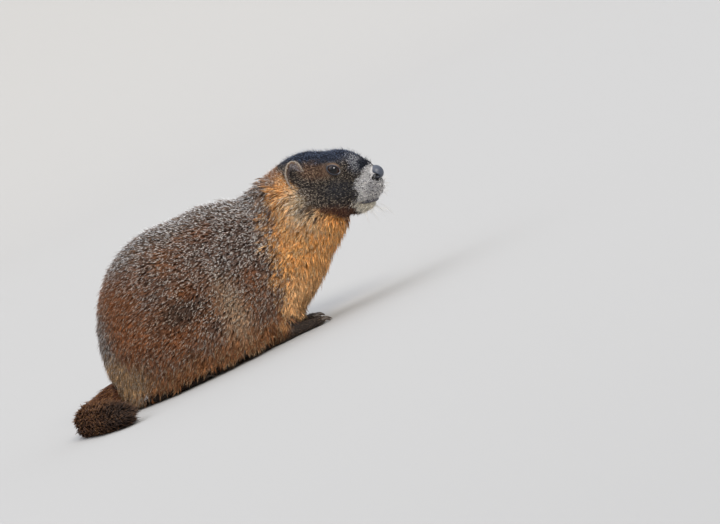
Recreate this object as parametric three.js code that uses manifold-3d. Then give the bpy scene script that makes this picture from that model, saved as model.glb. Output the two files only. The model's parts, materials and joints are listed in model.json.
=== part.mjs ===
// A yellow-bellied marmot crouching on level ground, at life size, with its tail laid round on the ground.
// Millimetres, +Z up. The animal faces +X, its left side is +Y, and the ground is the plane z = 0.
// The body is one blended flesh, parted by thin cuts into head, neck, torso and legs.
import * as THREE from "three";
import { mergeVertices } from "three/addons/utils/BufferGeometryUtils.js";
import Module from "manifold-3d";

const wasm = await Module();
wasm.setup();

// Driving dimensions
const gap = 0.3; // between two parts that touch
const backHeight = 163; // ground to the top of the back
const rumpWidth = 150; // across the haunches
const rumpReach = 212; // forefeet to the back of the rump
const bellyHeight = 10; // ground to the hair of the belly
const headPitch = 22; // degrees that the muzzle points below level
const headYaw = -18; // degrees that the head turns to the right
const headPlace = [83, -12, 127]; // middle of the skull
const eyeRadius = 7.6;
const eyeDepth = 4.6; // of its middle under the face
const eyeOpening = [6.5, 4.4]; // half its length and half its height
const eyeSlant = 20; // degrees that its front corner is the lower, against the skull
const lidSize = [8.6, 10, 8.7]; // half its depth, length and height, from the middle of the eyeball
const mouthDepth = 3.5;
const earHeight = 33;
const earWidth = 21;
const tailLength = 165;
const tailRadius = 20; // with its long hair
const tailCoreRadius = 10.4; // flesh and underfur
const tailHeight = 12; // of its middle over the ground
const forefootLength = 50; // with the claws
const hindfootLength = 76;
const hemLock = { length: 24, width: 14, thickness: 4, sink: 4, rise: 2 }; // hair that hangs from the flanks
const breastLock = { length: 24, width: 14, thickness: 4, sink: 4, rise: 2.5 };
const tailLock = { length: 40, width: 15, thickness: 5, sink: 3, rise: tailRadius - tailCoreRadius };
const hemHeight = 27; // ground to the roots of the hem
const hemBottom = 1; // ground to the lowest tips

// Joins and cuts
function solidOf(geometry, matrix = new THREE.Matrix4()) {
  const bare = geometry.clone().applyMatrix4(matrix);
  for (const name of ["normal", "uv"]) bare.deleteAttribute(name);
  const merged = mergeVertices(bare, 1e-4);
  const vertProperties = merged.getAttribute("position").array;
  const triVerts = new Uint32Array(merged.index.array);
  return new wasm.Manifold(new wasm.Mesh({ numProp: 3, vertProperties, triVerts }));
}

function geometryOf(solid) {
  const { vertProperties, triVerts } = solid.getMesh();
  const geometry = new THREE.BufferGeometry();
  geometry.setAttribute("position", new THREE.BufferAttribute(new Float32Array(vertProperties), 3));
  geometry.setIndex(new THREE.BufferAttribute(triVerts, 1));
  return geometry;
}

// The largest closed surface of a solid, so that loose scraps and sealed hollows go.
function largest(solid) {
  return solid.decompose().reduce((a, b) => (b.volume() > a.volume() ? b : a));
}

function joined(solids) {
  return solids.reduce((a, b) => a.add(b));
}

function cutBy(solid, cutters) {
  return cutters.reduce((rest, cutter) => rest.subtract(cutter), solid);
}

// A place, turn and size as a matrix. Pitch lowers the front end, yaw turns it to the left, in degrees.
function placed([x, y, z], { pitch = 0, yaw = 0, roll = 0, size = [1, 1, 1] } = {}) {
  const angles = [roll, pitch, yaw].map(THREE.MathUtils.degToRad);
  const turn = new THREE.Quaternion().setFromEuler(new THREE.Euler(...angles, "ZYX"));
  return new THREE.Matrix4().compose(new THREE.Vector3(x, y, z), turn, new THREE.Vector3(...size));
}

function egg(at, size, { frame = new THREE.Matrix4(), detail = 2, ...turn } = {}) {
  const place = frame.clone().multiply(placed(at, { ...turn, size }));
  return solidOf(new THREE.IcosahedronGeometry(1, detail), place);
}

function inFrame(frame, [x, y, z]) {
  return new THREE.Vector3(x, y, z).applyMatrix4(frame).toArray();
}

// A round bar from one point to another, whose radii follow each other at even steps and whose ends are blunt.
function spindle(from, to, radii, sides = 8) {
  const start = new THREE.Vector3(...from);
  const along = new THREE.Vector3(...to).sub(start);
  const length = along.length();
  const step = length / (radii.length - 1);
  const profile = [new THREE.Vector2(0, 0), ...radii.map((r, i) => new THREE.Vector2(r, i * step))];
  profile.push(new THREE.Vector2(0, length));
  profile[1].y += radii[0] * 0.5;
  profile[profile.length - 2].y -= radii.at(-1) * 0.5;
  const turn = new THREE.Quaternion().setFromUnitVectors(new THREE.Vector3(0, 1, 0), along.normalize());
  const place = new THREE.Matrix4().compose(start, turn, new THREE.Vector3(1, 1, 1));
  return solidOf(new THREE.LatheGeometry(profile, sides), place);
}

// A plane by a point on it and the way it faces.
function plane([x, y, z], [nx, ny, nz]) {
  const normal = new THREE.Vector3(nx, ny, nz).normalize();
  return { normal, offset: normal.dot(new THREE.Vector3(x, y, z)) };
}

// What lies before a plane or behind it, kept off it by half the gap.
function before({ normal, offset }, solid) {
  return solid.trimByPlane(normal.toArray(), offset + gap / 2);
}

function behind({ normal, offset }, solid) {
  return solid.trimByPlane(normal.clone().negate().toArray(), gap / 2 - offset);
}

// Flesh with its fur: named egg-shaped forms, whose distances are blended into one smooth surface
const head = placed(headPlace, { pitch: headPitch, yaw: headYaw });

function form(at, size, turn = {}, frame = new THREE.Matrix4()) {
  const place = frame.clone().multiply(placed(at, turn));
  return { inverse: place.invert().elements, size };
}

function pair([x, y, z], size, { pitch = 0, yaw = 0, roll = 0 } = {}, frame) {
  return [1, -1].map((side) =>
    form([x, side * y, z], size, { pitch, yaw: side * yaw, roll: side * roll }, frame),
  );
}

// Distance of a point from a form, true near its surface.
function distance({ inverse: m, size }, x, y, z) {
  let square = 0;
  let slope = 0;
  for (let i = 0; i < 3; i++) {
    const local = (m[i] * x + m[i + 4] * y + m[i + 8] * z + m[i + 12]) / size[i];
    square += local * local;
    slope += (local / size[i]) ** 2;
  }
  const radius = Math.sqrt(square);
  return (radius * (radius - 1)) / Math.max(Math.sqrt(slope), 1e-9);
}

function blend(forms, softness) {
  return (x, y, z) => {
    let sum = 0;
    for (const each of forms) sum += Math.exp(-distance(each, x, y, z) / softness);
    return -softness * Math.log(sum);
  };
}

function softMinimum(a, b, softness) {
  const lower = Math.min(a, b);
  return lower - softness * Math.log(Math.exp((lower - a) / softness) + Math.exp((lower - b) / softness));
}

const trunkForms = [
  form([-107, 0, 37], [rumpReach - 109, rumpWidth / 2 - 5, backHeight - 37]), // rump and back
  form([-114, 0, 77], [76, 60, backHeight - 83]), // loins
  form([-58, 0, 80], [84, 60, backHeight - 79]), // ribs
  form([-18, 0, 77], [57, 55, 57], { pitch: -37 }), // chest
  ...pair([-130, 38, 48], [60, 34, 46], { pitch: -8 }), // haunches
  ...pair([-30, 30, 58], [34, 25, 42], { pitch: -8 }), // shoulders
];
const neckForms = [
  form([41, -3, 112], [58, 43, 51], { pitch: -37 }), // nape and throat
  form([10, -1, 80], [50, 44, 46], { pitch: -37 }), // breast
  form([10, -1, 112], [46, 38, 43]), // nape
];
const headForms = [
  form([-18, 0, 1], [38, 31, 33], {}, head), // braincase
  form([13, 0, 14.5], [28, 22, 21], { pitch: 9 }, head), // brow
  form([33, 0, 13], [24, 10.5, 12.5], { pitch: 16 }, head), // bridge of the nose
  ...pair([9, 16.5, 22], [15, 6.5, 6], { yaw: -10 }, head), // ridges over the eyes
  ...pair([44, 6.5, -4], [12.5, 9.5, 12], {}, head), // pads of the upper lip
  ...pair([27, 9, -6], [20, 13, 15], { yaw: -12 }, head), // sides of the muzzle
  form([30, 0, -20], [20, 12, 11], { pitch: -14 }, head), // chin
  ...pair([4, 14, -11], [28, 18, 21], { yaw: -6 }, head), // cheeks
];
const trunk = blend(trunkForms, 5);
const neck = blend(neckForms, 5);
const skull = blend(headForms, 2.5);

function flesh(x, y, z) {
  const body = softMinimum(trunk(x, y, z), neck(x, y, z), 5);
  const whole = softMinimum(body, skull(x, y, z), 4);
  return -softMinimum(-whole, z - bellyHeight, 5);
}

// Where the parts of the body meet
const collar = plane([-13, 0, 155], [0.962, 0, 0.274]);
const nape = plane([22, 0, 160], [0.715, -0.19, 0.673]);

function within(planes, margin) {
  return (x, y, z) =>
    Math.max(
      flesh(x, y, z),
      ...planes.map(([{ normal: n, offset }, side]) => side * (offset - n.x * x - n.y * y - n.z * z) - margin),
    );
}

// Where a ray from inside leaves the flesh
function surface(from, ray) {
  let inner = 0;
  let outer = rumpReach;
  for (let k = 0; k < 30; k++) {
    const middle = (inner + outer) / 2;
    const p = from.clone().addScaledVector(ray, middle);
    if (flesh(p.x, p.y, p.z) > 0) outer = middle;
    else inner = middle;
  }
  return from.clone().addScaledVector(ray, outer);
}

// Wraps a field: each vertex of a sphere goes where its ray from the centre first leaves the level.
function wrapped([cx, cy, cz], stretch, detail, reach, field, level = 0) {
  const bare = new THREE.IcosahedronGeometry(1, detail);
  for (const name of ["normal", "uv"]) bare.deleteAttribute(name);
  const geometry = mergeVertices(bare, 1e-5);
  const position = geometry.getAttribute("position");
  const ray = new THREE.Vector3();
  const steps = 60;
  for (let i = 0; i < position.count; i++) {
    ray.fromBufferAttribute(position, i).multiply(stretch).normalize();
    const value = (r) => field(cx + ray.x * r, cy + ray.y * r, cz + ray.z * r) - level;
    let outer = reach / steps;
    while (outer < reach && value(outer) <= 0) outer += reach / steps;
    let inner = outer - reach / steps;
    for (let k = 0; k < 20; k++) {
      const middle = (inner + outer) / 2;
      if (value(middle) > 0) outer = middle;
      else inner = middle;
    }
    position.setXYZ(i, cx + ray.x * outer, cy + ray.y * outer, cz + ray.z * outer);
  }
  return solidOf(geometry);
}

function trunkSkin(level) {
  return wrapped([-92, 0, 80], new THREE.Vector3(1.3, 0.85, 0.9), 7, 260, within([[collar, -1]], 8), level);
}

function neckSkin(level) {
  const field = within([[collar, 1], [nape, -1]], 8);
  return wrapped([26, -3, 104], new THREE.Vector3(0.9, 0.9, 1.1), 6, 160, field, level);
}

function headSkin(level) {
  const centre = inFrame(head, [13, 0, -2]);
  return wrapped(centre, new THREE.Vector3(1.2, 0.9, 0.9), 10, 130, within([[nape, 1]], 8), level);
}

// A lock of hair: flat and tapered, it leaves the surface with its root sunk, lies along the coat and bends.
// No two beside each other are of one size.
const varied = (i) => 1 + 0.1 * Math.sin(i * 2.4);

function lock(root, lie, away, { length, width, thickness, sink, rise }, { size = 1, grow = 0 } = {}) {
  const rows = 3;
  const geometry = new THREE.ConeGeometry(1, 1, 4, rows);
  const position = geometry.getAttribute("position");
  const along = lie.clone().normalize();
  const outward = away.clone().addScaledVector(along, -away.dot(along)).normalize();
  const across = new THREE.Vector3().crossVectors(along, outward);
  const fullness = [0.8, 1, 0.75, 0];
  for (let i = 0; i < position.count; i++) {
    const t = position.getY(i) + 0.5;
    const row = Math.round(t * rows);
    const full = row < rows ? fullness[row] / (1 - t) : 0;
    const place = root.clone().addScaledVector(along, (t * length + (row < rows ? 0 : grow)) * size);
    place.addScaledVector(outward, -sink + (sink + rise) * Math.sin((t * Math.PI) / 2));
    place.addScaledVector(across, position.getX(i) * full * (width / 2 + grow) * size);
    place.addScaledVector(outward, position.getZ(i) * full * (thickness / 2 + grow));
    position.setXYZ(i, place.x, place.y, place.z);
  }
  return solidOf(geometry);
}

const group = new THREE.Group();
function add(name, solid, color, roughness = 0.85) {
  const material = new THREE.MeshStandardMaterial({ color, roughness, metalness: 0 });
  const mesh = new THREE.Mesh(geometryOf(solid), material);
  mesh.name = name;
  group.add(mesh);
}

// Sides: the left one is +Y
const sides = [["left", 1], ["right", -1]];

// Feet: a flat pad of a palm with its toes and claws, or the same grown by the gap to cut its neighbours
function foot({ at, yaw, length, width, toes, height }, side, grow = 0) {
  const frame = placed([at[0], side * at[1], 0], { yaw: side * yaw });
  const heel = [length * 0.36, width * 0.42, height * 0.5].map((r) => r + grow);
  const palm = [length * 0.22, width * 0.5, 5.5].map((r) => r + grow);
  const parts = [
    egg([0, 0, height * 0.44], heel, { frame, detail: 1 }),
    egg([length * 0.14, 0, 5], palm, { frame, detail: 1 }),
  ];
  for (let i = 0; i < toes; i++) {
    const across = (2 * i) / (toes - 1) - 1;
    const reach = length * (0.56 - 0.07 * across * across);
    const spread = across * width * 0.4;
    const toe = (width / toes) * 0.56;
    const root = inFrame(frame, [length * 0.2, spread * 0.86, 5.2]);
    const tip = inFrame(frame, [reach, spread * 1.12, toe * 0.96]);
    parts.push(spindle(root, tip, [toe, toe * 1.08].map((r) => r + grow), 6));
    const nail = inFrame(frame, [reach + 7, spread * 1.16, 0.9]);
    const nailRoot = inFrame(frame, [reach - 3, spread * 1.1, toe * 1.25]);
    parts.push(spindle(nailRoot, nail, [1.7, 0.5].map((r) => r + grow), 4));
  }
  return joined(parts).trimByPlane([0, 0, 1], grow ? -5 : 0);
}

const forefoot = { at: [-11, 36], yaw: -4, length: forefootLength, width: 25, toes: 4, height: 13 };
const hindfoot = { at: [-156, 44], yaw: 4, length: hindfootLength, width: 30, toes: 5, height: 14 };

// Legs: haunch and shoulder are parted from the trunk by an arch, and the forearm comes down to the wrist
function arch([x, y, z], size, grow) {
  const [a, b, c] = size.map((r) => r + grow);
  const below = 20; // past the ground
  const place = placed([x, y, (z - below) / 2], { roll: 90, size: [a, 1, b] });
  const column = solidOf(new THREE.CylinderGeometry(1, 1, z + below, 20), place);
  return egg([x, y, z], [a, b, c]).add(column);
}

const haunch = (side, grow = 0) => arch([-136, side * 68, 46], [56, 42, 52], grow);
const upperArm = (side, grow = 0) => arch([-26, side * 58, 44], [33, 27, 44], grow);

// Hair that hangs from the flanks, evenly along each side and round the rump by its direction
function hemLocks(side, grow = 0) {
  const rump = [22, 36, 50, 64].map((turn) => [-150, turn]);
  const flank = Array.from({ length: 13 }, (_, i) => [-178 + 12 * i, 90]);
  return [...rump, ...flank].map(([x, turn], i) => {
    const angle = THREE.MathUtils.degToRad(180 - side * turn);
    const away = new THREE.Vector3(Math.cos(angle), Math.sin(angle), 0);
    const root = surface(new THREE.Vector3(x, 0, hemHeight * varied(i + side)), away);
    return lock(root, new THREE.Vector3(-0.12, 0, -1), away, hemLock, { size: varied(2 * i + side), grow });
  });
}

function forearm(side, grow = 0) {
  const [x, y] = forefoot.at;
  const radii = [16, 14, 11, 9].map((r) => r + grow);
  return spindle([x - 30, side * (y + 2), 34], [x - 4, side * y, 8], radii, 12);
}

const hem = sides.flatMap(([, side]) => hemLocks(side));
const trunkWhole = joined([trunkSkin(0), ...hem]).trimByPlane([0, 0, 1], hemBottom);
const torsoCuts = sides.flatMap(([, side]) => [
  haunch(side, gap),
  upperArm(side, gap),
  forearm(side, gap),
  foot(forefoot, side, gap),
  foot(hindfoot, side, gap),
]);
add("torso", largest(cutBy(behind(collar, trunkWhole), torsoCuts)), "#7a5a3c");
for (const [name, side] of sides) {
  const shoe = [foot(forefoot, side, gap), foot(hindfoot, side, gap)];
  const thigh = cutBy(trunkWhole.intersect(haunch(side)), shoe);
  const arm = cutBy(behind(collar, trunkWhole.intersect(upperArm(side))).add(forearm(side)), shoe);
  add(`hindleg_${name}`, largest(thigh), "#8a6038");
  add(`foreleg_${name}`, largest(arm), "#9a6a3a");
  add(`hindfoot_${name}`, largest(foot(hindfoot, side)), "#2b2724");
  add(`forefoot_${name}`, largest(foot(forefoot, side)), "#2b2724");
}

// Neck, with the long hair of the breast in rows that lie down along the slope
function breastLocks() {
  const rows = [[-14, 5, 0], [-34, 4, 0.5]];
  return rows.flatMap(([drop, count, shift]) =>
    Array.from({ length: count }, (_, i) => {
      const turn = THREE.MathUtils.degToRad(((i + shift) / 4 - 0.5) * 100 + headYaw / 3);
      const fall = Math.sin(THREE.MathUtils.degToRad(drop));
      const away = new THREE.Vector3(Math.cos(turn), Math.sin(turn), fall).normalize();
      const root = surface(new THREE.Vector3(26, -2, 92), away);
      const lie = new THREE.Vector3(-0.74, -0.25 * Math.sin(turn), -0.67);
      return lock(root, lie, away, breastLock, { size: varied(i + drop) });
    }),
  );
}

const neckPart = joined([before(collar, neckSkin(0)), ...breastLocks()]);
add("neck", largest(behind(nape, before(collar, neckPart))), "#b5793c");

// Eyes: set on the flesh where a ray from the middle of the head leaves it
function onHead([x, y, z], [dx, dy, dz]) {
  const from = new THREE.Vector3(x, y, z).applyMatrix4(head);
  const ray = new THREE.Vector3(dx, dy, dz).transformDirection(head);
  return { point: surface(from, ray), ray };
}

function eyeFrame(side) {
  const { point, ray } = onHead([7, 0, 15.6], [0.1, side, 0.12]);
  const yaw = THREE.MathUtils.radToDeg(Math.atan2(ray.y, ray.x));
  const centre = point.addScaledVector(ray, -eyeDepth);
  return placed(centre.toArray(), { yaw, roll: side * (headPitch + eyeSlant) });
}

function eyeball(side, grow = 0) {
  return egg([0, 0, 0], Array(3).fill(eyeRadius + grow), { frame: eyeFrame(side) });
}

// Lids: a mound over the eyeball with an almond-shaped opening, whose front corner is the lower one
function lids(side) {
  const frame = eyeFrame(side);
  const opening = egg([eyeRadius, 0, 0], [eyeRadius, ...eyeOpening], { frame });
  return egg([0, 0, 0], lidSize, { frame }).subtract(opening);
}

// Nose pad, with its nostrils and the cleft of the upper lip below it
function nosePad(grow = 0) {
  const size = [8.2, 7.6, 7.4].map((r) => r + grow);
  return egg([50, 0, 11.2], size, { frame: head, pitch: 28, detail: 3 });
}

const nostrils = sides.map(([, side]) =>
  egg([53.4, side * 7, 7.4], [4.8, 2.8, 2.6], { frame: head, yaw: side * 30, pitch: -12, detail: 1 }),
);
const cleft = solidOf(new THREE.BoxGeometry(8, 1.2, 18), head.clone().multiply(placed([57, 0, -4])));

// Mouth: a slit round the muzzle between the lips
const slit = solidOf(
  new THREE.BoxGeometry(40, 80, 1.4),
  head.clone().multiply(placed([48, 0, -13.6], { pitch: -10 })),
).subtract(headSkin(-mouthDepth));

// Ears: a rounded cup on its root
function ear(side) {
  const { point } = onHead([-32, 0, 11.5], [0, side, 0.1]);
  const facing = Math.atan2(side, 0.5);
  const yaw = THREE.MathUtils.radToDeg(facing) + headYaw;
  const frame = placed(point.toArray(), { yaw, pitch: 4, roll: side * 11 });
  const shell = egg([0, 0, 0], [7, earWidth / 2, earHeight / 2], { frame, detail: 3 });
  const cup = egg([5, -side * 0.5, 0], [8, earWidth / 2 - 2.4, earHeight / 2 - 2.6], { frame, detail: 3 });
  return shell.subtract(cup);
}

const headGrown = headSkin(gap);
let headPart = joined([headSkin(0), ...sides.map(([, side]) => lids(side))]);
headPart = cutBy(headPart, [nosePad(gap), slit, cleft, ...sides.map(([, side]) => eyeball(side, gap))]);
add("head", largest(before(nape, headPart)), "#3a342f");
add("nose", largest(cutBy(nosePad(), nostrils)), "#4a484a", 0.5);
for (const [name, side] of sides) {
  add(`eye_${name}`, eyeball(side), "#1a1210", 0.1);
  add(`ear_${name}`, largest(ear(side).subtract(headGrown)), "#6b5240");
}

// Tail: it leaves the rump close to the ground and bends round to the right
function tailPlace(t) {
  const steps = 40;
  const { smoothstep, degToRad } = THREE.MathUtils;
  const heading = (s) => degToRad(180 + 95 * smoothstep(s, 0.05, 0.6) + 20 * s);
  const rise = 11 * (1 - smoothstep(t, 0, 0.4));
  const place = new THREE.Vector3(-rumpReach + 20, 0, tailHeight + rise);
  for (let i = 0; i < steps * t; i++) {
    const turn = heading(i / steps);
    place.add(new THREE.Vector3(Math.cos(turn), Math.sin(turn), 0).multiplyScalar(tailLength / steps));
  }
  return { place, along: new THREE.Vector3(Math.cos(heading(t)), Math.sin(heading(t)), 0) };
}

function tailPoint(t, turn, reach) {
  const { place, along } = tailPlace(t);
  const across = new THREE.Vector3(-along.y, along.x, 0);
  const away = across.multiplyScalar(Math.cos(turn)).add(new THREE.Vector3(0, 0, Math.sin(turn)));
  return { at: place.addScaledVector(away, reach), along, away };
}

// The flesh and underfur of the tail, thinnest at its end
const tailCore = (t) => tailCoreRadius * Math.sqrt(1.02 - THREE.MathUtils.smoothstep(t, 0.4, 1.1) ** 2);

function tailSweep() {
  const rings = 9;
  const geometry = new THREE.CylinderGeometry(1, 1, 1, 8, rings);
  const position = geometry.getAttribute("position");
  for (let i = 0; i < position.count; i++) {
    const t = Math.round((0.5 - position.getY(i)) * rings) / rings;
    const reach = Math.hypot(position.getX(i), position.getZ(i)) * tailCore(t);
    const { at } = tailPoint(t, Math.atan2(position.getZ(i), position.getX(i)), reach);
    position.setXYZ(i, at.x, at.y, at.z);
  }
  return solidOf(geometry);
}

// Its long hair: rows of locks, each row turned by half a lock from the one before
function tailLocks() {
  const rows = [0.03, 0.2, 0.38, 0.56, 0.72, 0.86];
  const inRow = 5;
  return rows.flatMap((t, row) =>
    Array.from({ length: inRow }, (_, i) => {
      const turn = ((i + row / 2) / inRow) * 2 * Math.PI;
      const { at, along, away } = tailPoint(t, turn, tailCore(t));
      const lie = tailPoint(t + 0.2, turn, tailCore(t)).at.sub(at).lerp(along, 0.2);
      return lock(at, lie, away, tailLock, { size: varied(i + 3 * row) });
    }),
  );
}

const tail = joined([tailSweep(), ...tailLocks()]).trimByPlane([0, 0, 1], 0);
const tailJoints = [0.36, 0.68].map((t) => {
  const { place, along } = tailPlace(t);
  return plane(place.toArray(), along.toArray());
});
const rumpCut = [trunkSkin(gap), ...sides.flatMap(([, side]) => hemLocks(side, gap).slice(0, 2))];
add("tail_base", largest(cutBy(behind(tailJoints[0], tail), rumpCut)), "#7d4a2a");
add("tail_middle", largest(behind(tailJoints[1], before(tailJoints[0], tail))), "#5a3a28");
add("tail_tip", largest(before(tailJoints[1], tail)), "#2e231d");

// The origin is under the middle of the whole, on the ground.
const box = new THREE.Box3().setFromObject(group);
const middle = box.getCenter(new THREE.Vector3());
group.position.set(-middle.x, -middle.y, -box.min.z);

export default group;
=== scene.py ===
# A yellow-bellied marmot at life size, crouching on a level floor with its head turned to the right.
import json
import math

import bpy
import numpy as np
from mathutils import Matrix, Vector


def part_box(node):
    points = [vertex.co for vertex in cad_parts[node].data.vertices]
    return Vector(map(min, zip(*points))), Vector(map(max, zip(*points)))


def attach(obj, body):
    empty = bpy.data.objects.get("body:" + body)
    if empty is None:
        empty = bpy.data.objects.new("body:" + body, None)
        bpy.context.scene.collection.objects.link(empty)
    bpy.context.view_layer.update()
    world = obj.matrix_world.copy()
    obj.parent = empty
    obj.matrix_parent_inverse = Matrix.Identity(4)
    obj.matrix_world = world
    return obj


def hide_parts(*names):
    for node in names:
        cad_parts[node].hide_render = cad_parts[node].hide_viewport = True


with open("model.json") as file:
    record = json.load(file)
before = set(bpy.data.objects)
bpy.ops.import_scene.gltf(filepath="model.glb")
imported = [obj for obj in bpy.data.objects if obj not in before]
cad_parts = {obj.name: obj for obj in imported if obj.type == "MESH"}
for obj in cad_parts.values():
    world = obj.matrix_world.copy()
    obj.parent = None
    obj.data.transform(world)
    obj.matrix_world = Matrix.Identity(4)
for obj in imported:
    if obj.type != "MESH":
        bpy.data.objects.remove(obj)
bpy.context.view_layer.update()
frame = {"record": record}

right_hind_sole = np.array(frame["record"]["mounts"][0]["pos_m"]) * 1000
origin = right_hind_sole - (-156, -44, 0)
skull_place = np.array([83.0, -12.0, 127.0])
back_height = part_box("torso")[1][2] * 1000 - 1.6
belly_height = 10.0
hem_height = 26.0  # where the flanks stop and their hair hangs down
muscle_softness, nape_softness, skull_softness = 5.0, 4.0, 2.5  # how far neighbouring forms flow together
signs = {"right": -1, "left": 1}  # sides of the animal, along Y
random = np.random.default_rng(5)


def unit(v):
    """Vectors divided by their lengths."""
    return v / np.maximum(np.linalg.norm(v, axis=-1, keepdims=True), 1e-9)


def turned(pitch=0.0, yaw=0.0, roll=0.0):
    """Turn of a muscle in degrees: roll about X, then pitch about Y (front end down), then yaw about Z."""
    angles = np.radians([roll, pitch, yaw])
    (cr, cp, cy), (sr, sp, sy) = np.cos(angles), np.sin(angles)
    about_x = np.array([[1, 0, 0], [0, cr, -sr], [0, sr, cr]])
    about_y = np.array([[cp, 0, sp], [0, 1, 0], [-sp, 0, cp]])
    about_z = np.array([[cy, -sy, 0], [sy, cy, 0], [0, 0, 1]])
    return about_z @ about_y @ about_x


def muscle(at, size, **turn):
    """An egg: its middle, its half sizes and its turned axes."""
    return np.array(at, float), np.array(size, float), turned(**turn)


def muscles(at, size, pitch=0, yaw=0):
    """A left and a right one, as mirror images."""
    x, y, z = at
    return [muscle((x, sign * y, z), size, pitch=pitch, yaw=sign * yaw) for sign in (1, -1)]


head_yaw = -18
skull_turn = turned(pitch=22, yaw=head_yaw)
trunk_forms = [
    muscle((-107, 0, 37), (103, 70, back_height - 37)),  # rump and back
    muscle((-114, 0, 77), (76, 60, back_height - 83)),  # loins
    muscle((-58, 0, 80), (84, 60, back_height - 79)),  # ribs
    muscle((-18, 0, 77), (57, 55, 57), pitch=-37),  # chest
    *muscles((-130, 38, 48), (60, 34, 46), pitch=-8),  # haunches
    *muscles((-30, 30, 58), (34, 25, 42), pitch=-8),  # shoulders
]
neck_forms = [
    muscle((41, -3, 112), (58, 43, 51), pitch=-37),  # nape and throat
    muscle((10, -1, 80), (50, 44, 46), pitch=-37),  # breast
    muscle((10, -1, 112), (46, 38, 43)),  # withers
]
in_skull_forms = [
    muscle((-18, 0, 1), (38, 31, 33)),  # braincase
    muscle((13, 0, 14.5), (28, 22, 21), pitch=9),  # brow
    muscle((33, 0, 13), (24, 10.5, 12.5), pitch=16),  # bridge of the nose
    *muscles((9, 16.5, 22), (15, 6.5, 6), yaw=-10),  # ridges over the eyes
    *muscles((44, 6.5, -4), (12.5, 9.5, 12)),  # pads of the upper lip
    *muscles((27, 9, -6), (20, 13, 15), yaw=-12),  # sides of the muzzle
    muscle((30, 0, -20), (20, 12, 11), pitch=-14),  # chin
    *muscles((4, 14, -11), (28, 18, 21), yaw=-6),  # cheeks
]
skull_forms = [(skull_place + skull_turn @ at, size, skull_turn @ axes) for at, size, axes in in_skull_forms]


def from_muscle(p, form):
    """Distance from an egg, true near its surface: r (r - 1) over the slope of r in the egg's axes."""
    at, size, axes = form
    q = (p - at) @ axes / size
    radius = np.linalg.norm(q, axis=-1)
    return radius * (radius - 1) / np.maximum(np.linalg.norm(q / size, axis=-1), 1e-9)


def blended(values, softness):
    """Smooth minimum of distances: minus softness times the log of the sum of exp(-distance / softness)."""
    values = np.stack(values)
    low = values.min(axis=0)
    return low - softness * np.log(np.exp((low - values) / softness).sum(axis=0))


def sides_of_body(p):
    """Distance from the body as if its flanks went on down past the belly."""
    groups = (trunk_forms, muscle_softness), (neck_forms, muscle_softness), (skull_forms, skull_softness)
    trunk, neck, skull = [blended([from_muscle(p, form) for form in forms], soft) for forms, soft in groups]
    return blended([blended([trunk, neck], muscle_softness), skull], nape_softness)


def body(p):
    """Distance from the outline of the coat, closed below at the belly."""
    return -blended([-sides_of_body(p), p[..., 2] - belly_height], muscle_softness)


def draped(p):
    """Distance from the outline as if the flanks went straight down from the hem's height."""
    return sides_of_body(np.concatenate([p[..., :2], np.maximum(p[..., 2:], hem_height)], axis=-1))


def outward(p, field=body, step=0.5):
    """Direction in which a distance grows fastest, by a small step along each axis."""
    here = field(p)
    return unit(np.stack([field(p + step * axis) - here for axis in np.eye(3)], axis=-1))


def ramp(value, low, high):
    """0 below low, 1 above high, and a smooth rise between them."""
    t = np.clip((value - low) / (high - low), 0, 1)
    return t * t * (3 - 2 * t)


def in_skull(p):
    """Place in the skull's own axes: forward, to its left and up."""
    return (p - skull_place) @ skull_turn


def from_skull(h):
    """Place in the body's axes of a point given in the skull's."""
    return skull_place + h @ skull_turn.T


collar = np.array([0.962, 0, 0.274]), np.array([-13, 0, 155.0])  # the plane where the neck starts
nape = np.array([0.715, -0.19, 0.673]), np.array([22, 0, 160.0])  # the plane where the head starts


def ahead_of(plane, p):
    """How far points lie ahead of a plane that is given by its normal and a point on it."""
    normal, at = plane
    return (p - at) @ unit(normal)


def head_share(p):
    """1 on the head, 0 behind it, over 14 mm."""
    return ramp(ahead_of(nape, p), -7, 7)


def neck_share(p):
    """1 on the neck, 0 on the trunk and the head, over 24 mm in front of the trunk."""
    return ramp(ahead_of(collar, p), -12, 12) * (1 - head_share(p))


def blended_parts(p, trunk, neck, cheek, crown, muzzle):
    """A value for each part of the body, blended where the parts meet."""
    x, _, z = in_skull(p).T
    on_muzzle = ramp(x, 20, 34)
    low = ramp(-z, -14, 10)
    skull = (1 - on_muzzle) * (low * cheek + (1 - low) * crown) + on_muzzle * muzzle
    head, of_neck = head_share(p), neck_share(p)
    return head * skull + of_neck * neck + (1 - head - of_neck) * trunk


eye_boxes = {side: np.array(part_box(f"eye_{side}")) * 1000 - origin for side in ("left", "right")}
eye_middles = {side: corners.mean(axis=0) for side, corners in eye_boxes.items()}
eye_radius = float(np.ptp(eye_boxes["left"], axis=0).mean() / 2)


def from_eyes(p):
    """Distance to the nearer eye's middle."""
    return np.minimum(*[np.linalg.norm(p - middle, axis=-1) for middle in eye_middles.values()])


def coat_depth(p):
    """How far the skin lies under the outline of the coat: least on the muzzle and round the eyes."""
    depth = blended_parts(p, trunk=6.5, neck=7.5, cheek=3.6, crown=2.4, muzzle=1.2)
    return depth + (1.4 - depth) * (1 - ramp(from_eyes(p), 8, 17))


def skin_level(p):
    """Distance from the skin."""
    return body(p) + coat_depth(p)


def halved(field, start, ray, inner, outer, times=16):
    """How far along its ray each point leaves a field: the stretch between inside and outside is halved."""
    for _ in range(times):
        middle = (inner + outer) / 2
        inside = field(start + ray * middle[:, None]) < 0
        inner, outer = np.where(inside, middle, inner), np.where(inside, outer, middle)
    return inner


def leaving(field, start, ray, reach=60.0):
    """Where rays that start inside a field leave it."""
    far = halved(field, start, ray, np.zeros(len(ray)), np.full(len(ray), reach))
    return start + ray * far[:, None]


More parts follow.
